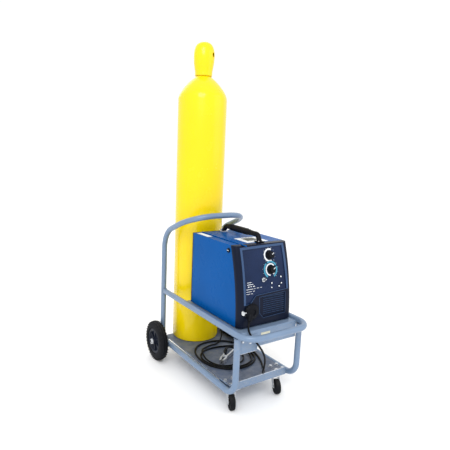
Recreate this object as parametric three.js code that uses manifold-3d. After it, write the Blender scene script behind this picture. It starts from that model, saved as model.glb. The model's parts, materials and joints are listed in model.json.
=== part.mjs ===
// MIG welder on a tubular cart with a gas cylinder.
// Millimetres, +Z up, +Y towards the rear, origin on the floor under the middle of the footprint.
import * as THREE from 'three';
import { mergeVertices } from 'three/addons/utils/BufferGeometryUtils.js';
import Module from 'manifold-3d';

const wasm = await Module();
wasm.setup();

// ---------- driving dimensions ----------
const GAP = 0.3;                       // clearance between pieces that touch
const TUBE_R = 12.7;                   // 25.4 mm cart tube
const SIDE_X = 160;                    // centre of side rails, posts and upper rail
const INNER_X = SIDE_X - TUBE_R - GAP; // half width of everything held between the tubes
const POST_Y = 314;
const RAIL_Z = 95;                     // lower side rails
const UPPER_Z = 345;                   // upper U-shaped rail
const RAIL_FRONT_Y = -369;
const FRONT_TUBE_Y = -304;
const DECK = { top: 108, thick: 2.5, front: -254.2, rear: 316 };
const CROSS = { bottom: 87, top: 120, front: -257, rear: -177, thick: 2.5 };
const SHELF = { top: 345, thick: 2, front: -297, rear: 125, apron: 70, lip: 18 };
const HOOP = { bendZ: 635, barY: 60, barZ: 744, postBend: 115, corner: 130 };
const AXLE = { y: 302, z: 97, r: 7.9, half: 226 };
const WHEEL = { r: 97, x: 198, halfWidth: 20, rim: 62 };
const CASTER = { x: 120, y: -222, trail: 24, r: 31.75, halfWidth: 11, turn: -0.384 };
const GAS = { y: 268, r: 114.3, base: 108.3, shoulder: 1262, neck: 1367, wall: 5.7, top: 1388 };
const CASE = { left: -130, right: 142, bottom: 350, top: 668, front: -270, rear: 101, sheet: 1.6, curve: 1000 };
const BEZEL = { depth: 26, wall: 3, corner: 20 };
const DOOR = { hingeX: -90, hingeZ: 670, bottom: 362 };
const FEED = { x: -73, z: 413 };       // centre line of the welding wire
const GUN_CABLE_R = 4;
const WORK_CABLE_R = 3.5;

// ---------- paint and finishes ----------
const finish = (color, roughness, metalness = 0) =>
  () => new THREE.MeshStandardMaterial({ color, roughness, metalness });
const cartPaint = finish(0x8fa3bd, 0.45, 0.2);
const deckPaint = finish(0x7f8894, 0.5, 0.2);
const yellowPaint = finish(0xf7e31c, 0.25);
const bluePaint = finish(0x0a5fae, 0.35);
const blackPlastic = finish(0x17181c, 0.5);
const panelPlastic = finish(0x2c3556, 0.4);
const rubber = finish(0x1b1b1e, 0.85);
const zinc = finish(0xb9bdc4, 0.3, 0.9);
const brass = finish(0xb08d45, 0.35, 0.9);
const steel = finish(0x8b8f94, 0.35, 0.9);
const copper = finish(0xb5653a, 0.4, 0.8);
const board = finish(0x1f6a3c, 0.6);
const aluminium = finish(0xa9acb0, 0.4, 0.8);

// ---------- solid helpers ----------
// Welds coincident points and turns the faces outwards.
function welded(geometry) {
  const bare = geometry.clone();
  bare.deleteAttribute('normal');
  bare.deleteAttribute('uv');
  const merged = mergeVertices(bare, 1e-4);
  const triangles = Array.from(merged.index.array);
  const at = (i) => new THREE.Vector3().fromBufferAttribute(merged.attributes.position, i);
  let volume = 0;
  const kept = [];
  for (let t = 0; t < triangles.length; t += 3) {
    const [a, b, c] = triangles.slice(t, t + 3);
    if (a === b || b === c || c === a) continue;
    kept.push(a, b, c);
    volume += at(a).dot(at(b).cross(at(c)));
  }
  merged.setIndex(volume < 0 ? kept.reverse() : kept);
  return merged;
}

function solid(geometry) {
  const { attributes, index } = welded(geometry);
  return new wasm.Manifold(new wasm.Mesh({
    numProp: 3,
    vertProperties: Float32Array.from(attributes.position.array),
    triVerts: Uint32Array.from(index.array),
  }));
}

function geometryOf(manifold) {
  const mesh = manifold.getMesh();
  const geometry = new THREE.BufferGeometry();
  geometry.setAttribute('position', new THREE.BufferAttribute(Float32Array.from(mesh.vertProperties), 3));
  geometry.setIndex(new THREE.BufferAttribute(Uint32Array.from(mesh.triVerts), 1));
  return geometry;
}

const join = (...pieces) => geometryOf(pieces.map(solid).reduce((a, b) => a.add(b)));
const cut = (piece, ...tools) => geometryOf(tools.map(solid).reduce((a, b) => a.subtract(b), solid(piece)));
const common = (a, b) => geometryOf(solid(a).intersect(solid(b)));

function box(x0, x1, y0, y1, z0, z1) {
  const geometry = new THREE.BoxGeometry(x1 - x0, y1 - y0, z1 - z0);
  return geometry.translate((x0 + x1) / 2, (y0 + y1) / 2, (z0 + z1) / 2);
}

// A turned piece: profile points are [radius, distance along the axis].
function turned(profile, axis, origin, sides = 24) {
  const geometry = new THREE.LatheGeometry(profile.map(([r, d]) => new THREE.Vector2(r, d)), sides);
  const turn = new THREE.Quaternion().setFromUnitVectors(new THREE.Vector3(0, 1, 0), axis);
  return geometry.applyQuaternion(turn).translate(...origin);
}
const X = new THREE.Vector3(1, 0, 0);
const Y = new THREE.Vector3(0, 1, 0);
const Z = new THREE.Vector3(0, 0, 1);
const rod = (r, from, to, axis, origin, sides = 16) =>
  turned([[0, from], [r, from], [r, to], [0, to]], axis, origin, sides);
const ring = (r0, r1, from, to, axis, origin, sides = 24) =>
  turned([[r0, from], [r1, from], [r1, to], [r0, to], [r0, from]], axis, origin, sides);

// Straight extrusions: the outline is in the other two axes, in X, Y, Z order.
function outline(points) {
  return new THREE.Shape(points.map(([a, b]) => new THREE.Vector2(a, b)));
}
function extruded(shape, length, basis, origin) {
  const geometry = new THREE.ExtrudeGeometry(shape, { depth: length, bevelEnabled: false, curveSegments: 6 });
  return geometry.applyMatrix4(new THREE.Matrix4().makeBasis(...basis)).translate(...origin);
}
const alongX = (shape, x0, x1) => extruded(shape, x1 - x0, [Y, Z, X], [x0, 0, 0]);
const alongY = (shape, y0, y1) => extruded(shape, y1 - y0, [X, Z, Y.clone().negate()], [0, y1, 0]);
const alongZ = (shape, z0, z1) => extruded(shape, z1 - z0, [X, Y, Z], [0, 0, z0]);

// A path of straight runs and round bends, sampled only where it turns.
class BentPath extends THREE.Curve {
  constructor(corners, radii, bendSteps = 7) {
    super();
    this.samples = [];
    const points = corners.map((c) => new THREE.Vector3(...c));
    const push = (position, tangent) => this.samples.push({ position, tangent });
    push(points[0], points[1].clone().sub(points[0]).normalize());
    for (let i = 1; i < points.length - 1; i += 1) {
      const back = points[i - 1].clone().sub(points[i]).normalize();
      const ahead = points[i + 1].clone().sub(points[i]).normalize();
      const bend = Math.PI - back.angleTo(ahead);
      const setback = radii[i - 1] * Math.tan(bend / 2);
      const start = points[i].clone().addScaledVector(back, setback);
      const forward = back.clone().negate();
      const inward = ahead.clone().addScaledVector(forward, -ahead.dot(forward)).normalize();
      for (let k = 0; k <= bendSteps; k += 1) {
        const a = (bend * k) / bendSteps;
        const position = start.clone()
          .addScaledVector(forward, radii[i - 1] * Math.sin(a))
          .addScaledVector(inward, radii[i - 1] * (1 - Math.cos(a)));
        const tangent = forward.clone().multiplyScalar(Math.cos(a)).addScaledVector(inward, Math.sin(a));
        push(position, tangent);
      }
    }
    const last = points.length - 1;
    push(points[last], points[last].clone().sub(points[last - 1]).normalize());
  }
  get steps() { return this.samples.length - 1; }
  sample(u) { return this.samples[Math.round(u * this.steps)]; }
  getPointAt(u, target = new THREE.Vector3()) { return target.copy(this.sample(u).position); }
  getTangentAt(u, target = new THREE.Vector3()) { return target.copy(this.sample(u).tangent); }
}

function circle(r, sides) {
  const spots = Array.from({ length: sides }, (_, i) => (2 * Math.PI * (i + 0.5)) / sides);
  return outline(spots.map((a) => [r * Math.cos(a), r * Math.sin(a)]));
}
function bentTube(corners, radii, r = TUBE_R, sides = 14, bendSteps = 7) {
  const path = new BentPath(corners, radii, bendSteps);
  return new THREE.ExtrudeGeometry(circle(r, sides), { steps: path.steps, extrudePath: path, bevelEnabled: false });
}
function cable(points, r, steps) {
  const path = new THREE.CatmullRomCurve3(points.map((p) => new THREE.Vector3(...p)), false, 'centripetal');
  return new THREE.ExtrudeGeometry(circle(r, 8), { steps, extrudePath: path, bevelEnabled: false });
}

const machine = new THREE.Group();
function add(name, geometry, material, parent = machine) {
  const mesh = new THREE.Mesh(welded(geometry), material());
  mesh.name = name;
  parent.add(mesh);
  return mesh;
}
const sides = [['left', -1], ['right', 1]];

// ---------- cart frame ----------
function sideRail(sign) {
  const x = sign * SIDE_X;
  const tube = bentTube([[x, POST_Y + 20, RAIL_Z], [x, FRONT_TUBE_Y, RAIL_Z],
    [x, FRONT_TUBE_Y, UPPER_Z - TUBE_R - GAP]], [62]);
  return cut(tube, rod(AXLE.r + 0.4, -20, 20, X, [x, AXLE.y, AXLE.z], 20));
}
for (const [side, sign] of sides) add(`side_rail_${side}`, sideRail(sign), cartPaint);

function handleHoop() {
  const foot = RAIL_Z + TUBE_R + GAP;
  const half = (s) => [[s * SIDE_X, POST_Y, foot], [s * SIDE_X, POST_Y, HOOP.bendZ],
    [s * SIDE_X, HOOP.barY, HOOP.barZ]];
  return bentTube([...half(-1), ...half(1).reverse()], [HOOP.postBend, HOOP.corner, HOOP.corner, HOOP.postBend]);
}
add('handle_hoop', handleHoop(), cartPaint);

function upperRail() {
  const rear = POST_Y - TUBE_R - GAP;
  return bentTube([[-SIDE_X, rear, UPPER_Z], [-SIDE_X, RAIL_FRONT_Y, UPPER_Z],
    [SIDE_X, RAIL_FRONT_Y, UPPER_Z], [SIDE_X, rear, UPPER_Z]], [66, 66]);
}
add('upper_rail', upperRail(), cartPaint);

function shelfTray() {
  const { top, thick, front, rear, apron, lip } = SHELF;
  const bend = 5;
  const profile = new THREE.Shape();
  profile.moveTo(front, top - apron);
  profile.lineTo(front, top - bend);
  profile.absarc(front + bend, top - bend, bend, Math.PI, Math.PI / 2, true);
  profile.lineTo(rear, top);
  profile.lineTo(rear, top - lip);
  profile.lineTo(rear - thick, top - lip);
  profile.lineTo(rear - thick, top - thick);
  profile.lineTo(front + thick, top - thick);
  profile.lineTo(front + thick, top - apron);
  return alongX(profile, -INNER_X, INNER_X);
}
add('shelf_tray', shelfTray(), cartPaint);

add('gusset_plate', box(-INNER_X, -58, SHELF.front - GAP - 2.7, SHELF.front - GAP, 261, UPPER_Z - 15),
  cartPaint);

function deckTray() {
  const { top, thick, front, rear } = DECK;
  const profile = outline([[front, top - thick], [front, top], [rear, top], [rear, top - 20],
    [rear - thick, top - 20], [rear - thick, top - thick]]);
  return alongX(profile, -INNER_X, INNER_X);
}
add('deck_tray', deckTray(), deckPaint);

function frontCrossmember() {
  const { bottom, top, front, rear, thick } = CROSS;
  const underDeck = DECK.top - DECK.thick - GAP;
  const profile = outline([[front, bottom], [rear, bottom], [rear, underDeck], [rear - thick, underDeck],
    [rear - thick, bottom + thick], [front + thick, bottom + thick], [front + thick, top], [front, top]]);
  return alongX(profile, -INNER_X, INNER_X);
}
add('front_crossmember', frontCrossmember(), cartPaint);

// ---------- rear wheels ----------
add('rear_axle', rod(AXLE.r, -AXLE.half, AXLE.half, X, [0, AXLE.y, AXLE.z]), steel);
function tyreProfile() {
  const { r, rim, halfWidth: w } = WHEEL;
  const shoulder = 9;
  const points = [[rim, -w], [r - shoulder - 8, -w], [r - shoulder, -w + 1.5], [r - 2.5, -w + shoulder], [r, 0]];
  const mirrored = points.slice(0, 4).reverse().map(([a, b]) => [a, -b]);
  return [...points, ...mirrored, points[0]];
}
function hubProfile(sign) {
  const rim = WHEEL.rim - GAP;
  const bore = AXLE.r + 0.35;
  const w = WHEEL.halfWidth;
  return [[bore, -w - 4], [17, -w - 4], [19, -9], [44, -4], [49, -w + 3], [rim, -w + 3], [rim, w - 3],
    [49, w - 3], [44, 4], [19, 9], [17, w + 4], [bore, w + 4], [bore, -w - 4]].map(([a, b]) => [a, sign * b]);
}
for (const [side, sign] of sides) {
  const centre = [sign * WHEEL.x, AXLE.y, AXLE.z];
  add(`rear_tyre_${side}`, turned(tyreProfile(), X, centre, 32), rubber);
  add(`rear_hub_${side}`, turned(hubProfile(sign), X, centre, 32), blackPlastic);
  const cap = ring(AXLE.r + 0.15, 13, 0, 3.5, X, [0, 0, 0], 20);
  if (sign < 0) cap.rotateZ(Math.PI);
  add(`axle_cap_${side}`, cap.translate(sign * (WHEEL.x + WHEEL.halfWidth + 4.4), AXLE.y, AXLE.z), zinc);
}

// ---------- front casters ----------
function casterPlate(x) {
  const plateTop = CROSS.bottom - GAP;
  const plate = box(x - 25, x + 25, CASTER.y - 34, CASTER.y + 38, plateTop - 2.7, plateTop);
  return join(plate, rod(20, 78, plateTop - 2, Z, [x, CASTER.y, 0], 20));
}
function casterFork(x) {
  const wheelY = CASTER.y - CASTER.trail;
  const leg = outline([[wheelY - 9, CASTER.r - 5], [wheelY + 9, CASTER.r - 5], [CASTER.y + 17, 66],
    [CASTER.y + 17, 74.5], [CASTER.y - 17, 74.5], [CASTER.y - 17, 66]]);
  const legs = [alongX(leg, x - 15.5, x - 13), alongX(leg, x + 13, x + 15.5)];
  const crown = box(x - 14, x + 14, CASTER.y - 17, CASTER.y + 17, 71.5, 74.5);
  const race = rod(17, 73, 78 - GAP, Z, [x, CASTER.y, 0], 20);
  return join(...legs, crown, race, rod(4, -18, 18, X, [x, wheelY, CASTER.r], 12));
}
function casterWheel(x) {
  const { r, halfWidth: w } = CASTER;
  const bore = 4.5;
  const profile = [[bore, -w - 1], [9, -w - 1], [10, -w + 3], [22, -w + 3], [24, -w], [r - 3, -w], [r, -w + 5]];
  const mirrored = profile.slice().reverse().map(([a, b]) => [a, -b]);
  return turned([...profile, ...mirrored, profile[0]], X, [x, CASTER.y - CASTER.trail, r], 24);
}
// Turns a caster piece about its swivel, as the casters stand in the photograph.
const swivelled = (geometry, x) =>
  geometry.translate(-x, -CASTER.y, 0).rotateZ(CASTER.turn).translate(x, CASTER.y, 0);
for (const [side, sign] of sides) {
  const x = sign * CASTER.x;
  add(`caster_plate_${side}`, casterPlate(x), zinc);
  add(`caster_fork_${side}`, swivelled(casterFork(x), x), zinc);
  add(`caster_wheel_${side}`, swivelled(casterWheel(x), x), rubber);
}

// ---------- gas cylinder ----------
// The shoulder falls from the neck in a rounded cone: [radius, height above the shoulder].
const SHOULDER = [[114.3, 0], [113, 10], [108.5, 24], [99, 41], [86, 59], [71, 76], [56, 90], [44, 100],
  [38, 105]];
function gasCylinder() {
  const { r, base, shoulder, neck, wall, top } = GAS;
  const inner = r - wall;
  const outside = [[0, base + 14], [70, base + 9], [98, base], [r - 4, base + 2], [r, base + 9],
    ...SHOULDER.map(([a, h]) => [a, shoulder + h]), [33, neck + 1], [33, top], [15, top]];
  const inside = [[15, neck - 4], [36, shoulder + 92], [64, shoulder + 72], [90, shoulder + 42],
    [104, shoulder + 14], [inner, shoulder - 8], [inner, base + 20], [0, base + 24]];
  return turned([...outside, ...inside], Z, [0, GAS.y, 0], 32);
}
add('gas_cylinder', gasCylinder(), yellowPaint);

function gasValve() {
  const body = rod(14.5, GAS.top - 24, GAS.top, Z, [0, GAS.y, 0], 16);
  const neck = rod(13, GAS.top - 2, GAS.top + 52, Z, [0, GAS.y, 0], 16);
  const outlet = rod(9.5, 4, 30, X, [0, GAS.y, GAS.top + 20], 12);
  const spindle = rod(4, GAS.top + 50, GAS.top + 78, Z, [0, GAS.y, 0], 12);
  return join(body, neck, outlet, spindle);
}
add('cylinder_valve', gasValve(), brass);
const WHEEL_Z = GAS.top + 62;
add('valve_handwheel', ring(4.5, 24, WHEEL_Z, WHEEL_Z + 9, Z, [0, GAS.y, 0], 16), steel);

function cylinderCap() {
  const seat = GAS.neck + 3;
  const outside = [[33.5, seat], [40.5, seat], [41, seat + 20], [45, seat + 45], [48.5, seat + 75],
    [48.5, seat + 98], [44.5, seat + 122], [35, seat + 140], [20, seat + 149.5], [0, seat + 152]];
  const inside = [[0, seat + 148], [19, seat + 145.5], [32, seat + 136], [41, seat + 119], [44.5, seat + 97],
    [44.5, seat + 76], [41, seat + 47], [37.5, seat + 33], [33.5, seat + 30], [33.5, seat]];
  const shell = turned([...outside, ...inside], Z, [0, GAS.y, 0], 28);
  const vent = rod(11, -60, 60, Z, [0, 0, 0], 12).rotateX(Math.PI / 2).rotateZ(0.6);
  return cut(shell, vent.translate(0, GAS.y, seat + 94));
}
add('cylinder_cap', cylinderCap(), yellowPaint);

// ---------- welder case ----------
const ARC = { y: CASE.front + CASE.curve, z: CASE.bottom };
const faceY = (z, back = 0) => ARC.y - Math.sqrt((CASE.curve - back) ** 2 - (z - ARC.z) ** 2);

// Sweeps a section up the curved front: section points are [distance forward of the face, x].
function frontSweep(points, z1 = CASE.top + 20) {
  const steps = 8;
  const turn = Math.asin((z1 - ARC.z) / (CASE.curve - 30));
  const samples = Array.from({ length: steps + 1 }, (_, i) => {
    const a = (turn * i) / steps;
    return [0, ARC.y - CASE.curve * Math.cos(a), ARC.z + CASE.curve * Math.sin(a)];
  });
  class FacePath extends THREE.Curve {
    getPointAt(u, target = new THREE.Vector3()) { return target.fromArray(samples[Math.round(u * steps)]); }
    getTangentAt(u, target = new THREE.Vector3()) {
      const a = turn * u;
      return target.set(0, Math.sin(a), Math.cos(a));
    }
  }
  return new THREE.ExtrudeGeometry(outline(points), { steps, extrudePath: new FacePath(), bevelEnabled: false });
}
function bezelSection(inset) {
  const [left, right] = [CASE.left + inset, CASE.right - inset];
  const r = BEZEL.corner - inset;
  const corner = (edge, sx) => Array.from({ length: 6 }, (_, i) => {
    const a = (Math.PI / 2) * (i / 5);
    return [-inset - r + r * Math.sin(a), edge + sx * (r * Math.cos(a) - r)];
  });
  const back = inset ? -BEZEL.depth - 6 : -BEZEL.depth;
  return [[back, right], ...corner(right, 1), ...corner(left, -1).reverse(), [back, left]];
}
const span = (z0, z1) => box(-200, 200, -400, 200, z0, z1);
const PANEL_OUTLINE = [[-99, 652], [106, 656], [114, 478], [-48, 472], [-74, 444], [-99, 440]];
const GRILLE_OUTLINE = [[-30, 462], [106, 468], [106, 380], [-10, 376], [-30, 398]];
const scaleOutline = (points, margin) => {
  const cx = points.reduce((s, p) => s + p[0], 0) / points.length;
  const cz = points.reduce((s, p) => s + p[1], 0) / points.length;
  return points.map(([x, z]) => [x + Math.sign(x - cx) * margin, z + Math.sign(z - cz) * margin]);
};
const windowTool = (points) => alongY(outline(points), -330, -150);

function frontBezel() {
  const outer = common(frontSweep(bezelSection(0)), span(CASE.bottom, CASE.top));
  const inner = common(frontSweep(bezelSection(BEZEL.wall)), span(CASE.bottom + 3, CASE.top - 3));
  const gunHole = rod(27, -340, -200, Y, [FEED.x, 0, FEED.z], 20);
  return cut(outer, inner, windowTool(PANEL_OUTLINE), windowTool(GRILLE_OUTLINE), gunHole);
}
add('front_bezel', frontBezel(), blackPlastic);

// A curved plate just inside the bezel, a little larger than the window it closes.
function behindWindow(points, margin, thick) {
  const back = BEZEL.wall + GAP + thick;
  const strip = frontSweep([[-back, 122], [0, 122], [0, -122], [-back, -122]]);
  const clear = frontSweep(bezelSection(BEZEL.wall + GAP));
  return common(common(strip, clear), windowTool(scaleOutline(points, margin)));
}
const onFace = (z, back) => {
  const a = Math.asin((z - ARC.z) / (CASE.curve - back));
  return { y: faceY(z, back), tilt: a, out: new THREE.Vector3(0, -Math.cos(a), Math.sin(a)) };
};
const KNOBS = [['voltage_knob', 36, 621], ['wire_speed_knob', 36, 564]];
const TOGGLE = { x: -5, z: 528 };
function controlPanel() {
  const plate = behindWindow(PANEL_OUTLINE, 4, 2);
  const shaftHoles = KNOBS.map(([, x, z]) => {
    const spot = onFace(z, 3.3);
    return rod(4.5, -20, 20, spot.out, [x, spot.y, z], 12);
  });
  const collar = onFace(TOGGLE.z, 3.3);
  return cut(plate, ...shaftHoles, rod(6.5, -20, 20, collar.out, [TOGGLE.x, collar.y, TOGGLE.z], 12));
}
add('control_panel', controlPanel(), panelPlastic);

function louvreGrille() {
  const plate = behindWindow(GRILLE_OUTLINE, 3, 3);
  const slots = Array.from({ length: 9 }, (_, i) => {
    const z = 388 + 8.5 * i;
    return box(-8, 102, -300, -240, z, z + 3.2);
  });
  return cut(plate, ...slots);
}
add('louvre_grille', louvreGrille(), blackPlastic);

function knob(name, x, z, r) {
  const spot = onFace(z, 3.0);
  const profile = [[0, -9], [3.8, -9], [3.8, 0], [r + 3, 0], [r + 3, 3], [r, 5], [r - 1.5, 18], [r - 3, 19.5],
    [0, 19.5]];
  add(name, turned(profile, spot.out, [x, spot.y, z], 20), blackPlastic);
}
for (const [name, x, z] of KNOBS) knob(name, x, z, 15);

// The toggle lever turns in a collar fixed to the panel.
const toggleSpot = onFace(TOGGLE.z, 3.3);
const toggleAt = (out) => [TOGGLE.x, toggleSpot.y + toggleSpot.out.y * out, TOGGLE.z + toggleSpot.out.z * out];
add('power_switch_body', cut(
  join(rod(6, -14, 6, toggleSpot.out, toggleAt(0), 16), rod(9.5, 0.5, 3.5, toggleSpot.out, toggleAt(0), 6),
    rod(10, -16, -5.4, toggleSpot.out, toggleAt(0), 16)),
  rod(4.6, -8, 12, toggleSpot.out, toggleAt(0), 16),
), zinc);
function toggleLever() {
  const tilt = new THREE.Vector3(0, -Math.cos(toggleSpot.tilt + 0.14), Math.sin(toggleSpot.tilt + 0.14));
  return turned([[0, -4], [1.8, -3], [1.8, 6], [3.2, 16], [2.6, 18.5], [0, 19]], tilt, toggleAt(0), 12);
}
add('power_switch_lever', toggleLever(), zinc);

function gunConnector() {
  const flangeBack = faceY(FEED.z - 33) - GAP - 0.4;
  const at = [FEED.x, 0, FEED.z];
  const flange = turned([[0, flangeBack], [33, flangeBack], [33, flangeBack - 5], [29, flangeBack - 12],
    [0, flangeBack - 14]], Y, at, 24);
  const body = rod(25, flangeBack - 1, -216, Y, at, 20);
  const nose = rod(10, 0, 26, new THREE.Vector3(-0.46, -0.36, -0.81), [-84, flangeBack - 9, 401], 12);
  return join(flange, body, nose);
}
add('gun_connector', gunConnector(), blackPlastic);

// Left half of the case is a door, hinged along the top; the wrap is the right side and the rest of the top.
const sideRear = 94.7;
const LATCH = { y: -180, z: 646 };
function curvedSide(z0, z1) {
  const steps = 8;
  const back = BEZEL.depth + GAP;
  const front = Array.from({ length: steps + 1 }, (_, i) => {
    const z = z0 + ((z1 - z0) * i) / steps;
    return [faceY(z, back), z];
  });
  return outline([...front, [sideRear, z1], [sideRear, z0]]);
}
function caseWrap() {
  const { right, top, sheet } = CASE;
  const side = alongX(curvedSide(DOOR.bottom, top), right - sheet, right);
  const front = faceY(top, BEZEL.depth + GAP);
  const topSheet = box(DOOR.hingeX + GAP, right - 0.5, front, sideRear, top - sheet, top);
  const barrel = rod(2.1, front + 6, sideRear - 6, Y, [DOOR.hingeX + 1.6, 0, DOOR.hingeZ - 0.1], 10);
  return join(side, topSheet, barrel);
}
add('case_wrap', caseWrap(), bluePaint);

function sideDoor() {
  const { left, top, sheet } = CASE;
  const side = alongX(curvedSide(DOOR.bottom, top), left, left + sheet);
  const front = faceY(top, BEZEL.depth + GAP);
  const topSheet = box(left + 0.5, DOOR.hingeX - GAP - 1.2, front, sideRear, top - sheet, top);
  return cut(join(side, topSheet), rod(4.3, -20, 20, X, [left, LATCH.y, LATCH.z], 12));
}
add('side_door', sideDoor(), bluePaint);

function basePan() {
  const { left, right, bottom, sheet } = CASE;
  const front = faceY(bottom, BEZEL.depth + GAP);
  const floor = box(left, right, front, sideRear, bottom, bottom + 2);
  const flange = (x) => box(x - sheet / 2, x + sheet / 2, front, sideRear, bottom, DOOR.bottom - GAP);
  const runner = (x) => box(x - 12, x + 12, front + 20, sideRear - 15, SHELF.top + GAP, bottom + 0.5);
  return join(floor, flange(left + sheet / 2), flange(right - sheet / 2), runner(left + 38), runner(right - 38));
}
add('base_pan', basePan(), bluePaint);

const FAN = { x: 62, z: 560, r: 62 };
function rearPanel() {
  const { left, right, bottom, top, rear } = CASE;
  const shell = cut(box(left, right, sideRear + GAP, rear, bottom, top),
    box(left + 3, right - 3, sideRear - 5, rear - 2.5, bottom + 3, top - 3));
  const guard = Array.from({ length: 9 }, (_, i) => {
    const dz = -48 + 12 * i;
    const reach = Math.sqrt((FAN.r - 4) ** 2 - dz ** 2);
    return box(FAN.x - reach, FAN.x + reach, 90, 110, FAN.z + dz - 3.5, FAN.z + dz + 3.5);
  });
  const gland = rod(9.4, 90, 110, Y, [-60, 0, 380], 12);
  const workExit = rod(8.4, 90, 110, Y, [80, 0, 386], 12);
  return cut(shell, ...guard, gland, workExit);
}
add('rear_panel', rearPanel(), blackPlastic);

const grommet = (r, length, x, z) => turned([[0, 90], [r + 3, 90], [r + 3, 94], [r, 98], [r, 101.3],
  [r + 4, 101.3], [r + 4, 107], [r - 1, 101 + length], [0, 101 + length]], Y, [x, 0, z], 16);
add('power_cord_gland', grommet(9, 22, -60, 380), blackPlastic);
add('work_cable_gland', grommet(8, 20, 80, 386), blackPlastic);

function doorLatch() {
  return turned([[0, -6], [3.9, -6], [3.9, 0.3], [9, 0.3], [9, 4], [7, 6], [0, 6]], X.clone().negate(),
    [CASE.left, LATCH.y, LATCH.z], 16);
}
add('door_latch', doorLatch(), blackPlastic);

function carryHandle() {
  const [x, rear, front] = [15, 72, -190];
  const foot = CASE.top + GAP;
  const grip = bentTube([[x, rear, foot - 8], [x, rear - 22, 698], [x, front + 14, 698], [x, front, foot - 8]],
    [18, 16], 12.5, 12, 5);
  const trimmed = common(grip, span(foot, 800));
  return join(trimmed, box(x - 17, x + 17, rear - 14, rear + 18, foot, foot + 5),
    box(x - 17, x + 17, front - 12, front + 16, foot, foot + 5));
}
add('carry_handle', carryHandle(), blackPlastic);

// ---------- inside the welder ----------
const inside = CASE.bottom + 2 + GAP;
const BAFFLE_X = 4;
add('centre_baffle', cut(box(BAFFLE_X, BAFFLE_X + 2, -212, 90, inside, 650),
  rod(10.4, -20, 20, X, [BAFFLE_X, -178, FEED.z - 19], 12)), zinc);

function transformer() {
  const core = box(26, 112, -110, 10, inside, 478);
  const coils = box(20, 118, -132, 32, 384, 446);
  return join(core, coils);
}
add('transformer', transformer(), copper);
add('fan_motor', join(rod(26, 42, 74, Y, [FAN.x, 0, FAN.z], 20), rod(3, 70, 86, Y, [FAN.x, 0, FAN.z], 10),
  box(BAFFLE_X + 2 + GAP, FAN.x, 44, 50, FAN.z - 8, FAN.z + 8)), steel);
function fanBlade() {
  const blades = Array.from({ length: 5 }, (_, i) => {
    const blade = box(-9, 9, -1, 1, 12, 52).rotateZ(0.5);
    return blade.rotateY((2 * Math.PI * i) / 5).translate(FAN.x, 82, FAN.z);
  });
  const hub = ring(3.4, 15, 76, 88, Y, [FAN.x, 0, FAN.z], 20);
  return join(hub, ...blades);
}
add('fan_blade', fanBlade(), blackPlastic);
add('circuit_board', join(box(14, 16, -200, -60, 500, 630), box(15, 40, -180, -140, 520, 560),
  box(15, 32, -120, -80, 570, 610), box(BAFFLE_X + 2 + GAP, 15, -190, -184, 505, 511),
  box(BAFFLE_X + 2 + GAP, 15, -76, -70, 505, 511)), board);

const SPOOL = { y: -14, z: 544, r: 98, x0: -84, x1: -30 };
add('spool_hub', join(rod(24, -86, BAFFLE_X - GAP, X, [0, SPOOL.y, SPOOL.z], 20),
  rod(28, -96, -85.5, X, [0, SPOOL.y, SPOOL.z], 20),
  rod(32, -12, BAFFLE_X - GAP, X, [0, SPOOL.y, SPOOL.z], 20)), blackPlastic);
function wireSpool() {
  const { y, z, r, x0, x1 } = SPOOL;
  return turned([[25, x0], [r, x0], [r, x0 + 3], [78, x0 + 4], [78, x1 - 4], [r, x1 - 3], [r, x1], [25, x1], [25, x0]],
    X, [0, y, z], 28);
}
add('wire_spool', wireSpool(), aluminium);

const ROLL = { y: -178, r: 18.5, pressureR: 14 };
const rollZ = FEED.z - ROLL.r - 0.4;
const pressureZ = FEED.z + ROLL.pressureR + 0.4;
add('drive_motor', join(rod(30, 16, 90, X, [0, ROLL.y, rollZ], 20), rod(5, -84, 20, X, [0, ROLL.y, rollZ], 12),
  rod(10, BAFFLE_X + GAP, 20, X, [0, ROLL.y, rollZ], 12)), steel);
function driveHousing() {
  const plate = cut(box(-50, BAFFLE_X - GAP, -208, -146, rollZ - 32, FEED.z + 4),
    rod(6, -60, 10, X, [0, ROLL.y, rollZ], 12), rod(ROLL.r + 3, -70, -26, X, [0, ROLL.y, rollZ], 16));
  const pivotLug = box(-50, BAFFLE_X - GAP, -208, -198, FEED.z, FEED.z + 24);
  const pin = rod(3.5, -84, -44, X, [0, -203, FEED.z + 17], 12);
  return join(plate, pivotLug, pin);
}
add('drive_housing', driveHousing(), aluminium);
add('drive_roll', ring(5.4, ROLL.r, -80, -64, X, [0, ROLL.y, rollZ], 20), steel);
function pressureArm() {
  const arm = join(box(-62, -56, -196, -140, FEED.z + 10, FEED.z + 26), rod(8, -62, -56, X, [0, -203, FEED.z + 17], 16),
    box(-62, -56, -205, -190, FEED.z + 12, FEED.z + 22), rod(4, -80, -58, X, [0, ROLL.y, pressureZ], 12),
    rod(7, FEED.z + 20, FEED.z + 50, Z, [-59, -146, 0], 12));
  return cut(arm, rod(3.9, -90, -40, X, [0, -203, FEED.z + 17], 12));
}
add('pressure_arm', pressureArm(), blackPlastic);
add('pressure_roll', ring(4.4, ROLL.pressureR, -79, -65, X, [0, ROLL.y, pressureZ], 16), steel);

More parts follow.
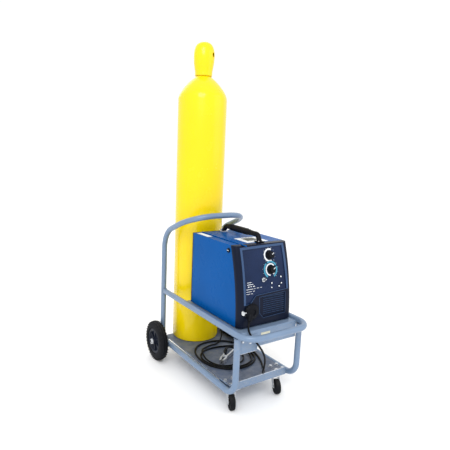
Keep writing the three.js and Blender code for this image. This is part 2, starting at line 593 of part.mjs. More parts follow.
// ---------- gun, work clamp and their cables, lying on the lower deck ----------
const GUN = { x: 130, y: 100, z: DECK.top + 16.3 };
function gunHandle() {
  const shape = new THREE.Shape();
  shape.absellipse(0, 0, 15.5, 16, 0, 2 * Math.PI, false, 0);
  const points = shape.getPoints(3).slice(0, -1).map((p) => [GUN.x + p.x, GUN.z + p.y]);
  const grip = alongY(outline(points), GUN.y, GUN.y + 118);
  const neck = bentTube([[GUN.x, GUN.y + 110, GUN.z], [GUN.x, GUN.y + 150, GUN.z],
    [GUN.x, GUN.y + 184, GUN.z + 34]], [30], 6.5, 10, 5);
  return cut(join(grip, neck), box(GUN.x - 4.5, GUN.x + 4.5, GUN.y + 66, GUN.y + 104, GUN.z - 6, GUN.z + 20));
}
add('gun_handle', gunHandle(), blackPlastic);
add('gun_trigger', join(box(GUN.x - 4, GUN.x + 4, GUN.y + 68, GUN.y + 102, GUN.z + 6, GUN.z + 22),
  rod(3.5, -4, 4, X, [GUN.x, GUN.y + 71, GUN.z + 4], 10)), rubber);
const nozzleAxis = new THREE.Vector3(0, 1, 1).normalize();
add('gun_nozzle', turned([[0, 0.3], [9.5, 0.3], [9.5, 40], [8, 48], [6, 48], [6, 12], [0, 12]], nozzleAxis,
  [GUN.x, GUN.y + 184, GUN.z + 34], 16), copper);

const CLAMP = { x: -24, y: -44, angle: 0.6545 };
const clamp = new THREE.Group();
clamp.position.set(CLAMP.x, CLAMP.y, DECK.top + GAP);
clamp.rotation.z = CLAMP.angle;
machine.add(clamp);
const clampPin = [-22, 0, 0];
function clampArm(sign, lug) {
  const arm = outline([[-66, sign * 1.5], [-62, sign * 10], [-36, sign * 15], [-10, sign * 11], [30, sign * 19],
    [64, sign * 21], [66, sign * 15], [30, sign * 12], [-8, sign * 5], [-14, sign * 5.5], [-30, sign * 5.5],
    [-50, sign * 4]]);
  const plate = alongZ(arm, 2, 20);
  const ears = lug.map(([z0, z1]) => rod(9, z0, z1, Z, clampPin, 14));
  return join(plate, ...ears);
}
const pinHole = rod(3.4, -1, 23, Z, clampPin, 12);
add('clamp_jaw_fixed', join(cut(clampArm(1, [[0, 5.6], [16.4, 22]]),
  rod(9.6, 5.7, 16.3, Z, clampPin, 14)), rod(3, 1, 21, Z, clampPin, 12)), zinc, clamp);
add('clamp_jaw_moving', cut(clampArm(-1, [[6, 16]]), pinHole, rod(9.6, -1, 5.7, Z, clampPin, 14),
  rod(9.6, 16.3, 23, Z, clampPin, 14)), zinc, clamp);

// Free leads. Each turn lies inside the last, and a strand that crosses another rises over it.
const onDeck = (r) => DECK.top + r + 0.6;
const laid = (points, r) => points.map(([x, y, z = onDeck(r)]) => [x, y, z]);
const gunRoute = laid([[-96.2, -288.8, 379.6], [-101, -292.5, 371], [-105, -300, 352], [-98, -309, 331],
  [-77, -318, 302.5], [-55, -319, 274], [-33, -314, 242], [-17, -304, 208], [-8, -292, 178], [-2, -279, 150],
  [9, -266, 131], [28, -250, 125.5], [50, -224, 118.5], [72, -189], [94, -150], [112, -108], [122, -70], [125, -34],
  [121, 0], [110, 42], [91, 80], [60, 110], [20, 127], [-20, 131], [-60, 124], [-95, 100], [-120, 62], [-133, 16],
  [-135, -28], [-125, -75], [-98, -117], [-60, -146], [-16, -158], [27, -154], [66, -135], [94, -105], [106, -66],
  [108, -28], [99, 8], [78, 34], [42, 53], [3, 63], [-38, 66], [-75, 58], [-104, 37], [-122, 2], [-124, -34],
  [-114, -72], [-90, -107], [-54, -132], [-12, -144], [28, -140], [62, -122], [82, -94], [90, -66, 115],
  [96, -36, 120.5], [102, -6, 122.6], [110, 30, 123.6], [121, 66, 124.3], [129, 90, 124.3], [GUN.x, 99.6, GUN.z]],
GUN_CABLE_R);
add('gun_cable', cable(gunRoute, GUN_CABLE_R, 80), rubber);

const workRoute = laid([[80, 121.6, 386], [80, 130, 386], [80, 140, 376], [81, 145, 350], [82, 147, 300],
  [84, 147, 230], [82, 143, 190], [74, 133, 155], [63, 121, 134], [50, 110, 122], [34, 101, 115], [15, 96], [-20, 95],
  [-54, 85, 113], [-77, 69, 117], [-92, 48, 121], [-102, 23, 117], [-107, -6], [-108, -38], [-101, -70], [-84, -97],
  [-54, -114], [-14, -118], [26, -105], [52, -76], [63, -42], [64, -10, 114], [57, 12, 117], [45, 22, 119],
  [34, 21.5, 119.3], [25.8, 16.9, 119.3], [17.9, 10.8, 119.3]], WORK_CABLE_R);
add('work_cable', cable(workRoute, WORK_CABLE_R, 80), rubber);

export default machine;
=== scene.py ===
"""Looks for the welder on its cart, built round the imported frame. Shapes are in millimetres, +Z up."""
import json
import math

import bmesh
import bpy
from mathutils import Matrix, Vector


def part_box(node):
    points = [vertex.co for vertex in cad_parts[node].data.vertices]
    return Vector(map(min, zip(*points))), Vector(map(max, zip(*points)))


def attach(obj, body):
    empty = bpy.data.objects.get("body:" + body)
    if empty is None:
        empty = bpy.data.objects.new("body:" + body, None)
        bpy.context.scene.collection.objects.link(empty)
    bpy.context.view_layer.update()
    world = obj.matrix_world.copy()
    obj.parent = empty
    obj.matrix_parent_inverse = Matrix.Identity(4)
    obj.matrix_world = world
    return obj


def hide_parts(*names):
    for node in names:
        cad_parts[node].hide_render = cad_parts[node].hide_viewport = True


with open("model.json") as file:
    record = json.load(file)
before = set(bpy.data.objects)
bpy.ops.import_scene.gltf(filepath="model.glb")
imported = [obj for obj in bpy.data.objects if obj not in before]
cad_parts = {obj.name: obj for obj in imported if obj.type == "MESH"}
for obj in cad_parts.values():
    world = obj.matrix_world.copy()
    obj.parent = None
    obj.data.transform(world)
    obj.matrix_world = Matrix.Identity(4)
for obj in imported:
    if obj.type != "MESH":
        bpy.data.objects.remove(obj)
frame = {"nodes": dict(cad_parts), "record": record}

for leftover in ("Cube", "Light", "Camera"):
    if leftover in bpy.data.objects:
        bpy.data.objects.remove(bpy.data.objects[leftover])
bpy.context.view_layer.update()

MM = 0.001
PACKED_SLOTS = {p["node"]: p["material_slot"] for p in frame["record"]["subparts"]}
NODE_BODY = {n: b for b, ns in frame["record"]["behaviour"]["bodies"].items() for n in ns}
ROOT = NODE_BODY["deck_tray"]
X, Y, Z = Vector((1, 0, 0)), Vector((0, 1, 0)), Vector((0, 0, 1))


def low(node):
    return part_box(node)[0] / MM


def high(node):
    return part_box(node)[1] / MM


def middle(node):
    return (low(node) + high(node)) / 2


# Driving dimensions, read from the frame where it has them.
TUBE_R = (high("side_rail_right").x - low("side_rail_right").x) / 2
SIDE_X = middle("side_rail_right").x
DECK_Z = high("deck_tray").z
SHELF_Z = high("shelf_tray").z
CASE_TOP = high("front_bezel").z
CASE_LEFT, CASE_RIGHT = low("front_bezel").x, high("front_bezel").x
GAS_Y = middle("gas_cylinder").y
FACE_R, FACE_Y, FACE_Z = 1000, low("front_bezel").y + 1000, low("front_bezel").z
GUN = Vector((middle("gun_trigger").x, low("gun_handle").y, DECK_Z + 16.3))
CLAMP_TURN = 0.6545
CLAMP = Matrix.Translation((-24, -44, DECK_Z + 0.3)) @ Matrix.Rotation(CLAMP_TURN, 4, "Z")


# ---------- camera ----------
def make_camera():
    yaw, pitch, roll, focal = 0.608588, 0.161223, 0.0429272, 434.1033
    ahead = Vector((math.sin(yaw) * math.cos(pitch), math.cos(yaw) * math.cos(pitch), -math.sin(pitch)))
    right = Vector((math.cos(yaw), -math.sin(yaw), 0))
    up = right.cross(ahead)
    across = right * math.cos(roll) + up * math.sin(roll)
    upward = up * math.cos(roll) - right * math.sin(roll)
    camera = bpy.data.objects.new("camera", bpy.data.cameras.new("camera"))
    bpy.context.scene.collection.objects.link(camera)
    turn = Matrix((across, upward, -ahead)).transposed().to_4x4()
    camera.matrix_world = Matrix.Translation((-1.09903, -1.53636, 1.01647)) @ turn
    camera.data.sensor_width = 36
    camera.data.lens = focal / 450 * 36
    camera.data.clip_end = 50
    bpy.context.scene.camera = camera


make_camera()


# ---------- materials ----------
def rgb(red, green, blue):
    """Scene-linear colour from 0-255 display values."""
    linear = (((c / 255 + 0.055) / 1.055) ** 2.4 if c > 10 else c / 3295 for c in (red, green, blue))
    return (*linear, 1)


def shade(colour, factor):
    return tuple(min(1, c * factor) for c in colour[:3]) + (1,)


def finish(name, colour, rough, metal=0.0, vary=0.08, vary_size=90, rough_vary=0.06, grain=0.0,
           grain_size=1.0, stretch=(1, 1, 1), worn=None, worn_amount=0.5, dust=0.0, coat=0.0, specular=0.5):
    """A procedural finish: mottled colour, uneven gloss, fine bump, worn edges and settled dust."""
    made = bpy.data.materials.new(name)
    made.use_nodes = True
    nodes, links = made.node_tree.nodes, made.node_tree.links
    shader = nodes["Principled BSDF"]
    shader.inputs["Metallic"].default_value = metal
    shader.inputs["Coat Weight"].default_value = coat
    shader.inputs["Specular IOR Level"].default_value = specular
    shader.inputs["Coat Roughness"].default_value = 0.08
    coords = nodes.new("ShaderNodeTexCoord")
    mapping = nodes.new("ShaderNodeMapping")
    mapping.inputs["Scale"].default_value = stretch
    links.new(coords.outputs["Object"], mapping.inputs["Vector"])

    def noise_of(size_mm, detail=4):
        noise = nodes.new("ShaderNodeTexNoise")
        noise.inputs["Scale"].default_value = 1000 / size_mm
        noise.inputs["Detail"].default_value = detail
        links.new(mapping.outputs["Vector"], noise.inputs["Vector"])
        return noise.outputs["Fac"]

    def ranged(value, from_low, from_high, to_low, to_high):
        node = nodes.new("ShaderNodeMapRange")
        limits = {"From Min": from_low, "From Max": from_high, "To Min": to_low, "To Max": to_high}
        for key, number in limits.items():
            node.inputs[key].default_value = number
        links.new(value, node.inputs["Value"])
        return node.outputs["Result"]

    def mixed(factor, first, second):
        node = nodes.new("ShaderNodeMix")
        node.data_type = "RGBA"
        links.new(factor, node.inputs["Factor"])
        for socket, value in (("A", first), ("B", second)):
            target = [s for s in node.inputs if s.name == socket and s.type == "RGBA"][0]
            if isinstance(value, tuple):
                target.default_value = value
            else:
                links.new(value, target)
        return [s for s in node.outputs if s.type == "RGBA"][0]

    broad = noise_of(vary_size)
    tone = mixed(ranged(broad, 0.3, 0.7, 0, 1), shade(colour, 1 - vary), shade(colour, 1 + vary))
    if dust:
        facing = nodes.new("ShaderNodeNewGeometry")
        upward = nodes.new("ShaderNodeSeparateXYZ")
        links.new(facing.outputs["Normal"], upward.inputs["Vector"])
        settled = nodes.new("ShaderNodeMath")
        settled.operation = "MULTIPLY"
        links.new(ranged(upward.outputs["Z"], 0.4, 1, 0, dust), settled.inputs[0])
        links.new(ranged(noise_of(35), 0.35, 0.7, 0, 1), settled.inputs[1])
        tone = mixed(settled.outputs["Value"], tone, rgb(170, 165, 155))
    if worn:
        edge = nodes.new("ShaderNodeNewGeometry")
        wear_and_highlight = nodes.new("ShaderNodeMath")
        wear_and_highlight.operation = "MULTIPLY"
        links.new(ranged(edge.outputs["Pointiness"], 0.53, 0.6, 0, worn_amount), wear_and_highlight.inputs[0])
        links.new(ranged(noise_of(8), 0.45, 0.6, 0, 1), wear_and_highlight.inputs[1])
        tone = mixed(wear_and_highlight.outputs["Value"], tone, worn)
    links.new(tone, shader.inputs["Base Color"])
    links.new(ranged(noise_of(vary_size * 0.3), 0.3, 0.7, rough - rough_vary, rough + rough_vary),
              shader.inputs["Roughness"])
    if grain:
        bump = nodes.new("ShaderNodeBump")
        bump.inputs["Strength"].default_value = 0.6
        bump.inputs["Distance"].default_value = grain * MM
        links.new(noise_of(grain_size, 2), bump.inputs["Height"])
        links.new(bump.outputs["Normal"], shader.inputs["Normal"])
    return made


STEEL_SHOWING = rgb(150, 152, 156)
CART = finish("cart_paint", rgb(112, 134, 162), 0.34, 0.1, vary=0.07, grain=0.05, grain_size=3,
              worn=STEEL_SHOWING, dust=0.06, coat=0.12, specular=0.35)
DECK = finish("deck_paint", rgb(84, 97, 120), 0.45, 0.1, vary=0.18, vary_size=140, grain=0.08, grain_size=4,
              rough_vary=0.12, worn=STEEL_SHOWING, dust=0.2, specular=0.3)
YELLOW = finish("cylinder_paint", rgb(238, 208, 6), 0.24, vary=0.03, vary_size=220, grain=0.12, grain_size=9,
                rough_vary=0.05, coat=0.2, specular=0.3)
BLUE = finish("case_paint", rgb(0, 80, 150), 0.3, vary=0.05, vary_size=160, grain=0.03, grain_size=1.2,
              specular=0.05)
BLACK = finish("black_plastic", rgb(15, 17, 23), 0.46, vary=0.12, grain=0.06, grain_size=0.9, dust=0.01,
               specular=0.1)
BEZEL = finish("bezel_plastic", rgb(13, 21, 40), 0.34, vary=0.12, grain=0.05, grain_size=0.9, specular=0.12)
PANEL = finish("panel_film", rgb(22, 38, 70), 0.3, vary=0.25, vary_size=150, grain=0.02, grain_size=0.7,
               specular=0.14)
# Lighter blue-grey painted highlight for light caught on the bezel's rounded edges; the louvre blades share
# it.
RIM_HIGHLIGHT = finish("bezel_rim_highlight", rgb(52, 76, 112), 0.33, vary=0.06, grain=0.02, specular=0.2)
RUBBER = finish("tyre_rubber", rgb(15, 17, 22), 0.7, vary=0.18, vary_size=40, grain=0.15, grain_size=1.6,
                dust=0.1, specular=0.14)
HUB = finish("hub_plastic", rgb(22, 28, 42), 0.42, vary=0.1, grain=0.04, specular=0.2)
JACKET = finish("cable_jacket", rgb(8, 10, 14), 0.42, vary=0.2, vary_size=25, grain=0.05, grain_size=1.5,
                dust=0.01, specular=0.12)
# Bright metal colour of the painted edge highlights along the cart's front lip, apron and gusset.
EDGE_HIGHLIGHT = finish("painted_edge_highlight", rgb(196, 204, 214), 0.32, 0.6, vary=0.14, vary_size=12, rough_vary=0.1)
ZINC = finish("zinc", rgb(205, 208, 212), 0.3, 0.95, vary=0.1, vary_size=14, grain=0.03, grain_size=0.8,
              rough_vary=0.1)
STEEL = finish("steel", rgb(165, 168, 172), 0.32, 0.95, vary=0.1, vary_size=20, grain=0.02, stretch=(1, 1, 6))
BRASS = finish("brass", rgb(196, 160, 88), 0.32, 0.95, vary=0.12, vary_size=12, rough_vary=0.1)
COPPER = finish("copper", rgb(190, 112, 74), 0.35, 0.9, vary=0.15, vary_size=10, rough_vary=0.1)
ALUMINIUM = finish("aluminium", rgb(185, 188, 192), 0.42, 0.9, vary=0.08, grain=0.08, grain_size=0.8)
BOARD = finish("board", rgb(34, 96, 54), 0.4, vary=0.1, vary_size=15)
PRINT = finish("pale_print", rgb(232, 236, 240), 0.5, vary=0.03)
CYAN = finish("cyan_print", rgb(52, 140, 170), 0.45, vary=0.04)
PLATE = finish("blank_plate", rgb(196, 196, 176), 0.38, 0.3, vary=0.08, vary_size=10)
OLIVE = finish("label_patch", rgb(70, 74, 60), 0.45, vary=0.1, vary_size=12)
LAMP = finish("lamp_lens", rgb(235, 240, 245), 0.15, vary=0.02, coat=0.6)
GREASE = finish("winding", rgb(150, 84, 50), 0.4, 0.7, vary=0.2, vary_size=6, grain=0.2, grain_size=1.2)
LAMINATE = finish("core_laminate", rgb(96, 98, 102), 0.5, 0.7, vary=0.12, grain=0.3, grain_size=1.4,
                  stretch=(1, 4, 1))
SLOT_LOOK = {"cart_paint": CART, "deck_paint": DECK, "cylinder_paint": YELLOW, "case_paint": BLUE,
             "black_plastic": BLACK, "panel_plastic": PANEL, "tyre_rubber": RUBBER, "cable_rubber": JACKET,
             "zinc": ZINC, "steel": STEEL, "brass": BRASS, "copper": COPPER, "aluminium": ALUMINIUM,
             "board": BOARD}


# ---------- shapes ----------
class Shape:
    """Points in millimetres and the faces between them."""

    def __init__(self, points=(), faces=()):
        self.points = [Vector(p) for p in points]
        self.faces = [tuple(f) for f in faces]

    def __add__(self, other):
        shift = len(self.points)
        moved_on = [tuple(i + shift for i in f) for f in other.faces]
        return Shape(self.points + other.points, self.faces + moved_on)

    def moved(self, matrix):
        return Shape([matrix @ p for p in self.points], self.faces)

    def at(self, x, y, z):
        return self.moved(Matrix.Translation((x, y, z)))


def frame_along(axis, origin=(0, 0, 0)):
    """A matrix that takes +Z to an axis."""
    return Matrix.Translation(origin) @ Vector(axis).to_track_quat("Z", "Y").to_matrix().to_4x4()


def lathe(profile, sides=48, axis=Z, origin=(0, 0, 0)):
    """Turns [radius, distance] points round an axis. Points of zero radius close the ends."""
    points, rings = [], []
    for r, d in profile:
        if r <= 1e-9:
            rings.append([len(points)])
            points.append((0, 0, d))
        else:
            rings.append(list(range(len(points), len(points) + sides)))
            points += [(r * math.cos(a), r * math.sin(a), d)
                       for a in (2 * math.pi * i / sides for i in range(sides))]
    faces = []
    closed = profile[0] == profile[-1] and profile[0][0] > 0
    if closed:
        rings[-1] = rings[0]
    for below, above in zip(rings, rings[1:]):
        for i in range(sides):
            j = (i + 1) % sides
            face = [below[i % len(below)], below[j % len(below)],
                    above[j % len(above)], above[i % len(above)]]
            face = list(dict.fromkeys(face))
            if len(face) > 2:
                faces.append(face)
    return Shape(points, faces).moved(frame_along(axis, origin))


def rod(r, start, end, axis=Z, origin=(0, 0, 0), sides=32, edge=0.0):
    if edge:
        profile = [(0, start), (r - edge, start), (r, start + edge),
                   (r, end - edge), (r - edge, end), (0, end)]
    else:
        profile = [(0, start), (r, start), (r, end), (0, end)]
    return lathe(profile, sides, axis, origin)


def washer(r0, r1, start, end, axis=Z, origin=(0, 0, 0), sides=40):
    return lathe([(r0, start), (r1, start), (r1, end), (r0, end), (r0, start)], sides, axis, origin)


def torus(r, thick, axis=Z, origin=(0, 0, 0), sides=48, around=12):
    profile = [(r + thick * math.cos(a), thick * math.sin(a)) for a in
               (2 * math.pi * i / around for i in range(around))]
    return lathe(profile + [profile[0]], sides, axis, origin)


def block(x0, x1, y0, y1, z0, z1, edge=0.0, steps=2):
    """A box with rounded edges."""
    bm = bmesh.new()
    bmesh.ops.create_cube(bm, size=1)
    spans = ((x0, x1), (y0, y1), (z0, z1))
    for v in bm.verts:
        v.co = Vector([a + (c + 0.5) * (b - a) for c, (a, b) in zip(v.co, spans)])
    if edge:
        bmesh.ops.bevel(bm, geom=bm.edges[:], offset=edge, segments=steps, profile=0.5, affect="EDGES")
    bm.verts.index_update()
    made = Shape([v.co.copy() for v in bm.verts], [[v.index for v in f.verts] for f in bm.faces])
    bm.free()
    return made


def bent(corners, radii, steps=16):
    """Straight runs joined by round bends, as a list of points."""
    corners = [Vector(c) for c in corners]
    route = [corners[0]]
    for i in range(1, len(corners) - 1):
        back = (corners[i - 1] - corners[i]).normalized()
        ahead = (corners[i + 1] - corners[i]).normalized()
        bend = math.pi - back.angle(ahead)
        r = radii[i - 1]
        start = corners[i] + back * r * math.tan(bend / 2)
        inward = (ahead + back * back.dot(ahead) * -1).normalized()
        for k in range(steps + 1):
            a = bend * k / steps
            route.append(start - back * r * math.sin(a) + inward * r * (1 - math.cos(a)))
    return route + [corners[-1]]


def tube(route, r, sides=32, taper=None):
    """A round tube along a route, closed at both ends."""
    n = len(route)
    ways = [(route[min(i + 1, n - 1)] - route[max(i - 1, 0)]).normalized() for i in range(n)]
    side = ways[0].orthogonal().normalized()
    points, faces = [], []
    for i in range(n):
        side = (side - ways[i] * side.dot(ways[i])).normalized()
        other = ways[i].cross(side)
        here = r if taper is None else taper(i / (n - 1))
        points += [route[i] + (side * math.cos(a) + other * math.sin(a)) * here
                   for a in (2 * math.pi * k / sides for k in range(sides))]
    for i in range(n - 1):
        for k in range(sides):
            m = (k + 1) % sides
            faces.append((i * sides + k, i * sides + m, (i + 1) * sides + m, (i + 1) * sides + k))
    faces += [tuple(range(sides))[::-1], tuple(range((n - 1) * sides, n * sides))]
    return Shape(points, faces)


def smooth_route(points, per_span):
    """A centripetal Catmull-Rom curve through the points."""
    points = [Vector(p) for p in points]
    points = [points[0] * 2 - points[1], *points, points[-1] * 2 - points[-2]]
    route = []
    for a, b, c, d in zip(points, points[1:], points[2:], points[3:]):
        ta = 0
        tb = ta + max((b - a).length, 1e-6) ** 0.5
        tc = tb + max((c - b).length, 1e-6) ** 0.5
        td = tc + max((d - c).length, 1e-6) ** 0.5
        for k in range(per_span):
            t = tb + (tc - tb) * k / per_span
            ab = a.lerp(b, (t - ta) / (tb - ta))
            bc = b.lerp(c, (t - tb) / (tc - tb))
            cd = c.lerp(d, (t - tc) / (td - tc))
            abc = ab.lerp(bc, (t - ta) / (tc - ta))
            bcd = bc.lerp(cd, (t - tb) / (td - tb))
            route.append(abc.lerp(bcd, (t - tb) / (tc - tb)))
    return route + [points[-2]]


def settled(obj, look, body, crease=35, bevel=0.0, slot=None, replaces=()):
    """Gives a mesh its material, smooth faces, rounded edges and body."""
    bm = bmesh.new()
    bm.from_mesh(obj.data)
    bmesh.ops.remove_doubles(bm, verts=bm.verts[:], dist=1e-6)
    bmesh.ops.recalc_face_normals(bm, faces=bm.faces[:])
    bm.to_mesh(obj.data)
    bm.free()
    obj.data.materials.clear()
    obj.data.materials.append(look)
    obj.data.polygons.foreach_set("use_smooth", [True] * len(obj.data.polygons))
    obj.data.set_sharp_from_angle(angle=math.radians(crease))
    if bevel:
        edges = obj.modifiers.new("edges", "BEVEL")
        edges.width = bevel * MM
        edges.segments = 2
        edges.limit_method = "ANGLE"
        edges.angle_limit = math.radians(crease)
        edges.harden_normals = True
    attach(obj, body)
    if replaces:
        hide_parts(*replaces)
    return obj


def piece(name, shape, look, body=ROOT, slot=None, replaces=(), **how):
    mesh = bpy.data.meshes.new(name)
    mesh.from_pydata([p * MM for p in shape.points], [], shape.faces)
    obj = bpy.data.objects.new(name, mesh)
    bpy.context.scene.collection.objects.link(obj)
    return settled(obj, look, body, slot=slot, replaces=replaces, **how)


def stand_in(node, shape, look=None, **how):
    """A finer piece in place of a CAD node, on the same body, in its slot's finish."""
    slot = PACKED_SLOTS[node]
    return piece(node + "_fine", shape, look or SLOT_LOOK[slot], NODE_BODY[node], slot, [node], **how)


def refined(node, look=None, bevel=0.5, crease=30):
    """The CAD node's own shape with welded points, rounded edges and smooth faces."""
    source = frame["nodes"][node]
    obj = bpy.data.objects.new(node + "_fine", source.data.copy())
    if obj.data.has_custom_normals:
        obj.data.attributes.remove(obj.data.attributes["custom_normal"])
    bpy.context.scene.collection.objects.link(obj)
    slot = PACKED_SLOTS[node]
    return settled(obj, look or SLOT_LOOK[slot], NODE_BODY[node], crease, bevel, slot, [node])


def hexagon(across, start, end, axis, origin):
    r = across / math.sqrt(3)
    return rod(r, start, end, axis, origin, sides=6)


def bolt(spot, axis, size=6.0):
    """A hex bolt head on its washer, standing on a surface."""
    shape = washer(0.1, size * 1.05, 0, size * 0.22, axis, spot, 24)
    shape += hexagon(size * 1.65, size * 0.22, size * 0.85, axis, spot)
    return shape + rod(size * 0.62, size * 0.85, size * 0.95, axis, spot, 16)


def screw(spot, axis, r=3.4):
    """A pan-head screw with a round recess."""
    profile = [(0, 0), (r, 0), (r, 0.7), (r * 0.8, 1.7), (r * 0.45, 2.1), (r * 0.45, 1.2), (0, 1.1)]
    return lathe(profile, 20, axis, spot)


def weld(r, axis, centre, bead=1.6, ripples=40):
    """A rippled weld bead round a tube."""
    shape = torus(r, bead, axis, (0, 0, 0), ripples * 2, 8)
    for i, p in enumerate(shape.points):
        wave = 1 + 0.05 * math.sin(i * 2.4)
        p *= wave
    return shape.at(*centre)


# ---------- cords ----------
GUN_CABLE_R, WORK_CABLE_R = 4, 3.5
LAID_GAP = 0.6  # between a cable and the deck


def cable_route(points, r):
    """A smooth route; a point without a height lies on the deck."""
    return smooth_route([(x, y, *(z or [DECK_Z + r + LAID_GAP])) for x, y, *z in points], 5)


def make_gun_cable():
    lead = [(-96.2, -288.8, 379.6), (-101, -292.5, 371), (-105, -300, 352), (-98, -309, 331),
            (-77, -318, 302.5), (-55, -319, 274), (-33, -314, 242), (-17, -304, 208), (-8, -292, 178),
            (-2, -279, 150), (9, -266, 131), (28, -250, 125.5), (50, -224, 118.5)]
    outer = [(72, -189), (94, -150), (112, -108), (122, -70), (125, -34), (121, 0), (110, 42), (91, 80),
             (60, 110), (20, 127), (-20, 131), (-60, 124), (-95, 100), (-120, 62), (-133, 16), (-135, -28),
             (-125, -75), (-98, -117), (-60, -146), (-16, -158), (27, -154), (66, -135), (94, -105),
             (106, -66)]
    inner = [(108, -28), (99, 8), (78, 34), (42, 53), (3, 63), (-38, 66), (-75, 58), (-104, 37), (-122, 2),
             (-124, -34), (-114, -72), (-90, -107), (-54, -132), (-12, -144), (28, -140), (62, -122),
             (82, -94)]
    tail = [(90, -66, 115), (96, -36, 120.5), (102, -6, 122.6), (110, 30, 123.6), (121, 66, 124.3),
            (129, 90, 124.3), (GUN.x, 99.6, GUN.z)]
    return cable_route(lead + outer + inner + tail, GUN_CABLE_R)


def make_work_cable():
    lead = [(80, 121.6, 386), (80, 130, 386), (80, 140, 376), (81, 145, 350), (82, 147, 300), (84, 147, 230),
            (82, 143, 190), (74, 133, 155), (63, 121, 134), (50, 110, 122), (34, 101, 115)]
    turn = [(15, 96), (-20, 95), (-54, 85, 113), (-77, 69, 117), (-92, 48, 121), (-102, 23, 117), (-107, -6),
            (-108, -38), (-101, -70), (-84, -97), (-54, -114), (-14, -118), (26, -105), (52, -76), (63, -42)]
    tail = [(64, -10, 114), (57, 12, 117), (45, 22, 119), (34, 21.5, 119.3), (25.8, 16.9, 119.3),
            (17.9, 10.8, 119.3)]
    return cable_route(lead + turn + tail, WORK_CABLE_R)


def lay_cord(name, route, r, node):
    cord = piece(name, tube(route, r, 16), JACKET, ROOT, "cable_rubber", [node], crease=60)


# ---------- cart ----------
GAP = 0.3  # left between tubes that meet
POST_Y, FRONT_POST_Y = 314, -304
RAIL_Z, UPPER_Z, RAIL_FRONT_Y = 95, 345, -369
HOOP_BEND_Z, HOOP_BAR_Y, HOOP_BAR_Z = 635, 60, 744


def make_cart_tubes():
    foot = low("handle_hoop").z
    hoop = [(-SIDE_X, POST_Y, foot), (-SIDE_X, POST_Y, HOOP_BEND_Z), (-SIDE_X, HOOP_BAR_Y, HOOP_BAR_Z)]
    hoop += [(-x, y, z) for x, y, z in reversed(hoop)]
    stand_in("handle_hoop", tube(bent(hoop, [115, 130, 130, 115], 24), TUBE_R))
    rear = POST_Y - TUBE_R - GAP
    rail = [(-SIDE_X, rear, UPPER_Z), (-SIDE_X, RAIL_FRONT_Y, UPPER_Z)]
    rail += [(-x, y, z) for x, y, z in reversed(rail)]
    stand_in("upper_rail", tube(bent(rail, [66, 66]), TUBE_R))
    for side, sign in (("left", -1), ("right", 1)):
        x = sign * SIDE_X
        end = POST_Y + 20
        path = bent([(x, end, RAIL_Z), (x, FRONT_POST_Y, RAIL_Z), (x, FRONT_POST_Y, UPPER_Z - TUBE_R - GAP)],
                    [62])
        stand_in(f"side_rail_{side}", tube(path, TUBE_R))
        plug = lathe([(0, -6), (TUBE_R - 2, -6), (TUBE_R - 2, 0), (TUBE_R - 0.4, 0), (TUBE_R - 0.8, 1.6),
                      (0, 2.4)], 32, Y, (x, end, RAIL_Z))
        piece(f"rail_plug_{side}", plug, BLACK, crease=50)
        beads = weld(TUBE_R, Z, (x, POST_Y, RAIL_Z + TUBE_R)) + weld(TUBE_R, Y, (x, rear, UPPER_Z), 1.5)
        beads += weld(TUBE_R, Z, (x, FRONT_POST_Y, UPPER_Z - TUBE_R))
        piece(f"weld_beads_{side}", beads, CART, crease=80)


CASTER_X = 120
CASTER_BOLTS = [(dx, y) for dx in (-17, 17) for y in (-244, -206)]
CASTER_AXLE = Matrix.Rotation(-0.384, 4, "Z") @ X


def make_decks():
    refined("shelf_tray", bevel=0.7)
    refined("deck_tray", bevel=0.7)
    refined("front_crossmember", bevel=0.6)
    refined("gusset_plate", bevel=0.6)
    for side, sign in (("left", -1), ("right", 1)):
        edge_x = sign * (high("deck_tray").x - 1)
        seams = Shape()
        for places, beads, r, start, z in (((-205, -60, 80, 210), 12, 2.1, -23, DECK_Z - 1.0),
                                           ((-240, -90, 70), 10, 2.0, -19, SHELF_Z - 1.4)):
            for y in places:
                for k in range(beads):
                    spot = (edge_x, y + 4.2 * k + start, z + 0.25 * (k % 2))
                    seams += rod(r, -2.2, 2.2, Y, spot, 10, edge=1)
        piece(f"tray_welds_{side}", seams, CART, crease=80)
    fixings = Shape()
    for x in (-CASTER_X, CASTER_X):
        for dx, y in CASTER_BOLTS:
            fixings += bolt((x + dx, y, DECK_Z), Z, 8)
    piece("caster_bolts", fixings, ZINC, slot="zinc", crease=30)
    gusset_front = low("gusset_plate").y
    bolts = bolt((-132, gusset_front, 312), -Y, 5) + bolt((-96, gusset_front, 301), -Y, 5)
    piece("gusset_bolts", bolts, ZINC, slot="zinc")
    apron = low("shelf_tray").y
    plate = block(-40, 6, apron - 1.0, apron, 311, 329, 0.4) + screw((-36.5, apron - 1, 320), -Y, 1.6)
    piece("blank_plate", plate + screw((2.5, apron - 1, 320), -Y, 1.6), PLATE)
    # Thin bright strips along the crossmember lip, the apron and the gusset edge: painted highlights where
    # these edges catch the light.
    lip_x, lip = high("front_crossmember").x - 0.6, low("front_crossmember").y
    wear_and_highlight = block(-lip_x, lip_x, lip - 0.3, lip + 2.7, 118.6, 120.3, 0.3)
    wear_and_highlight += block(-lip_x, lip_x, apron - 0.3, apron + 2.2, 274.6, 276.4, 0.3)
    gusset_end = high("gusset_plate").x - 0.4
    wear_and_highlight += block(-lip_x, gusset_end, gusset_front - 0.3, gusset_front + 2.6, 260.7, 262.3, 0.3)
    piece("rubbed_edges", wear_and_highlight, EDGE_HIGHLIGHT)


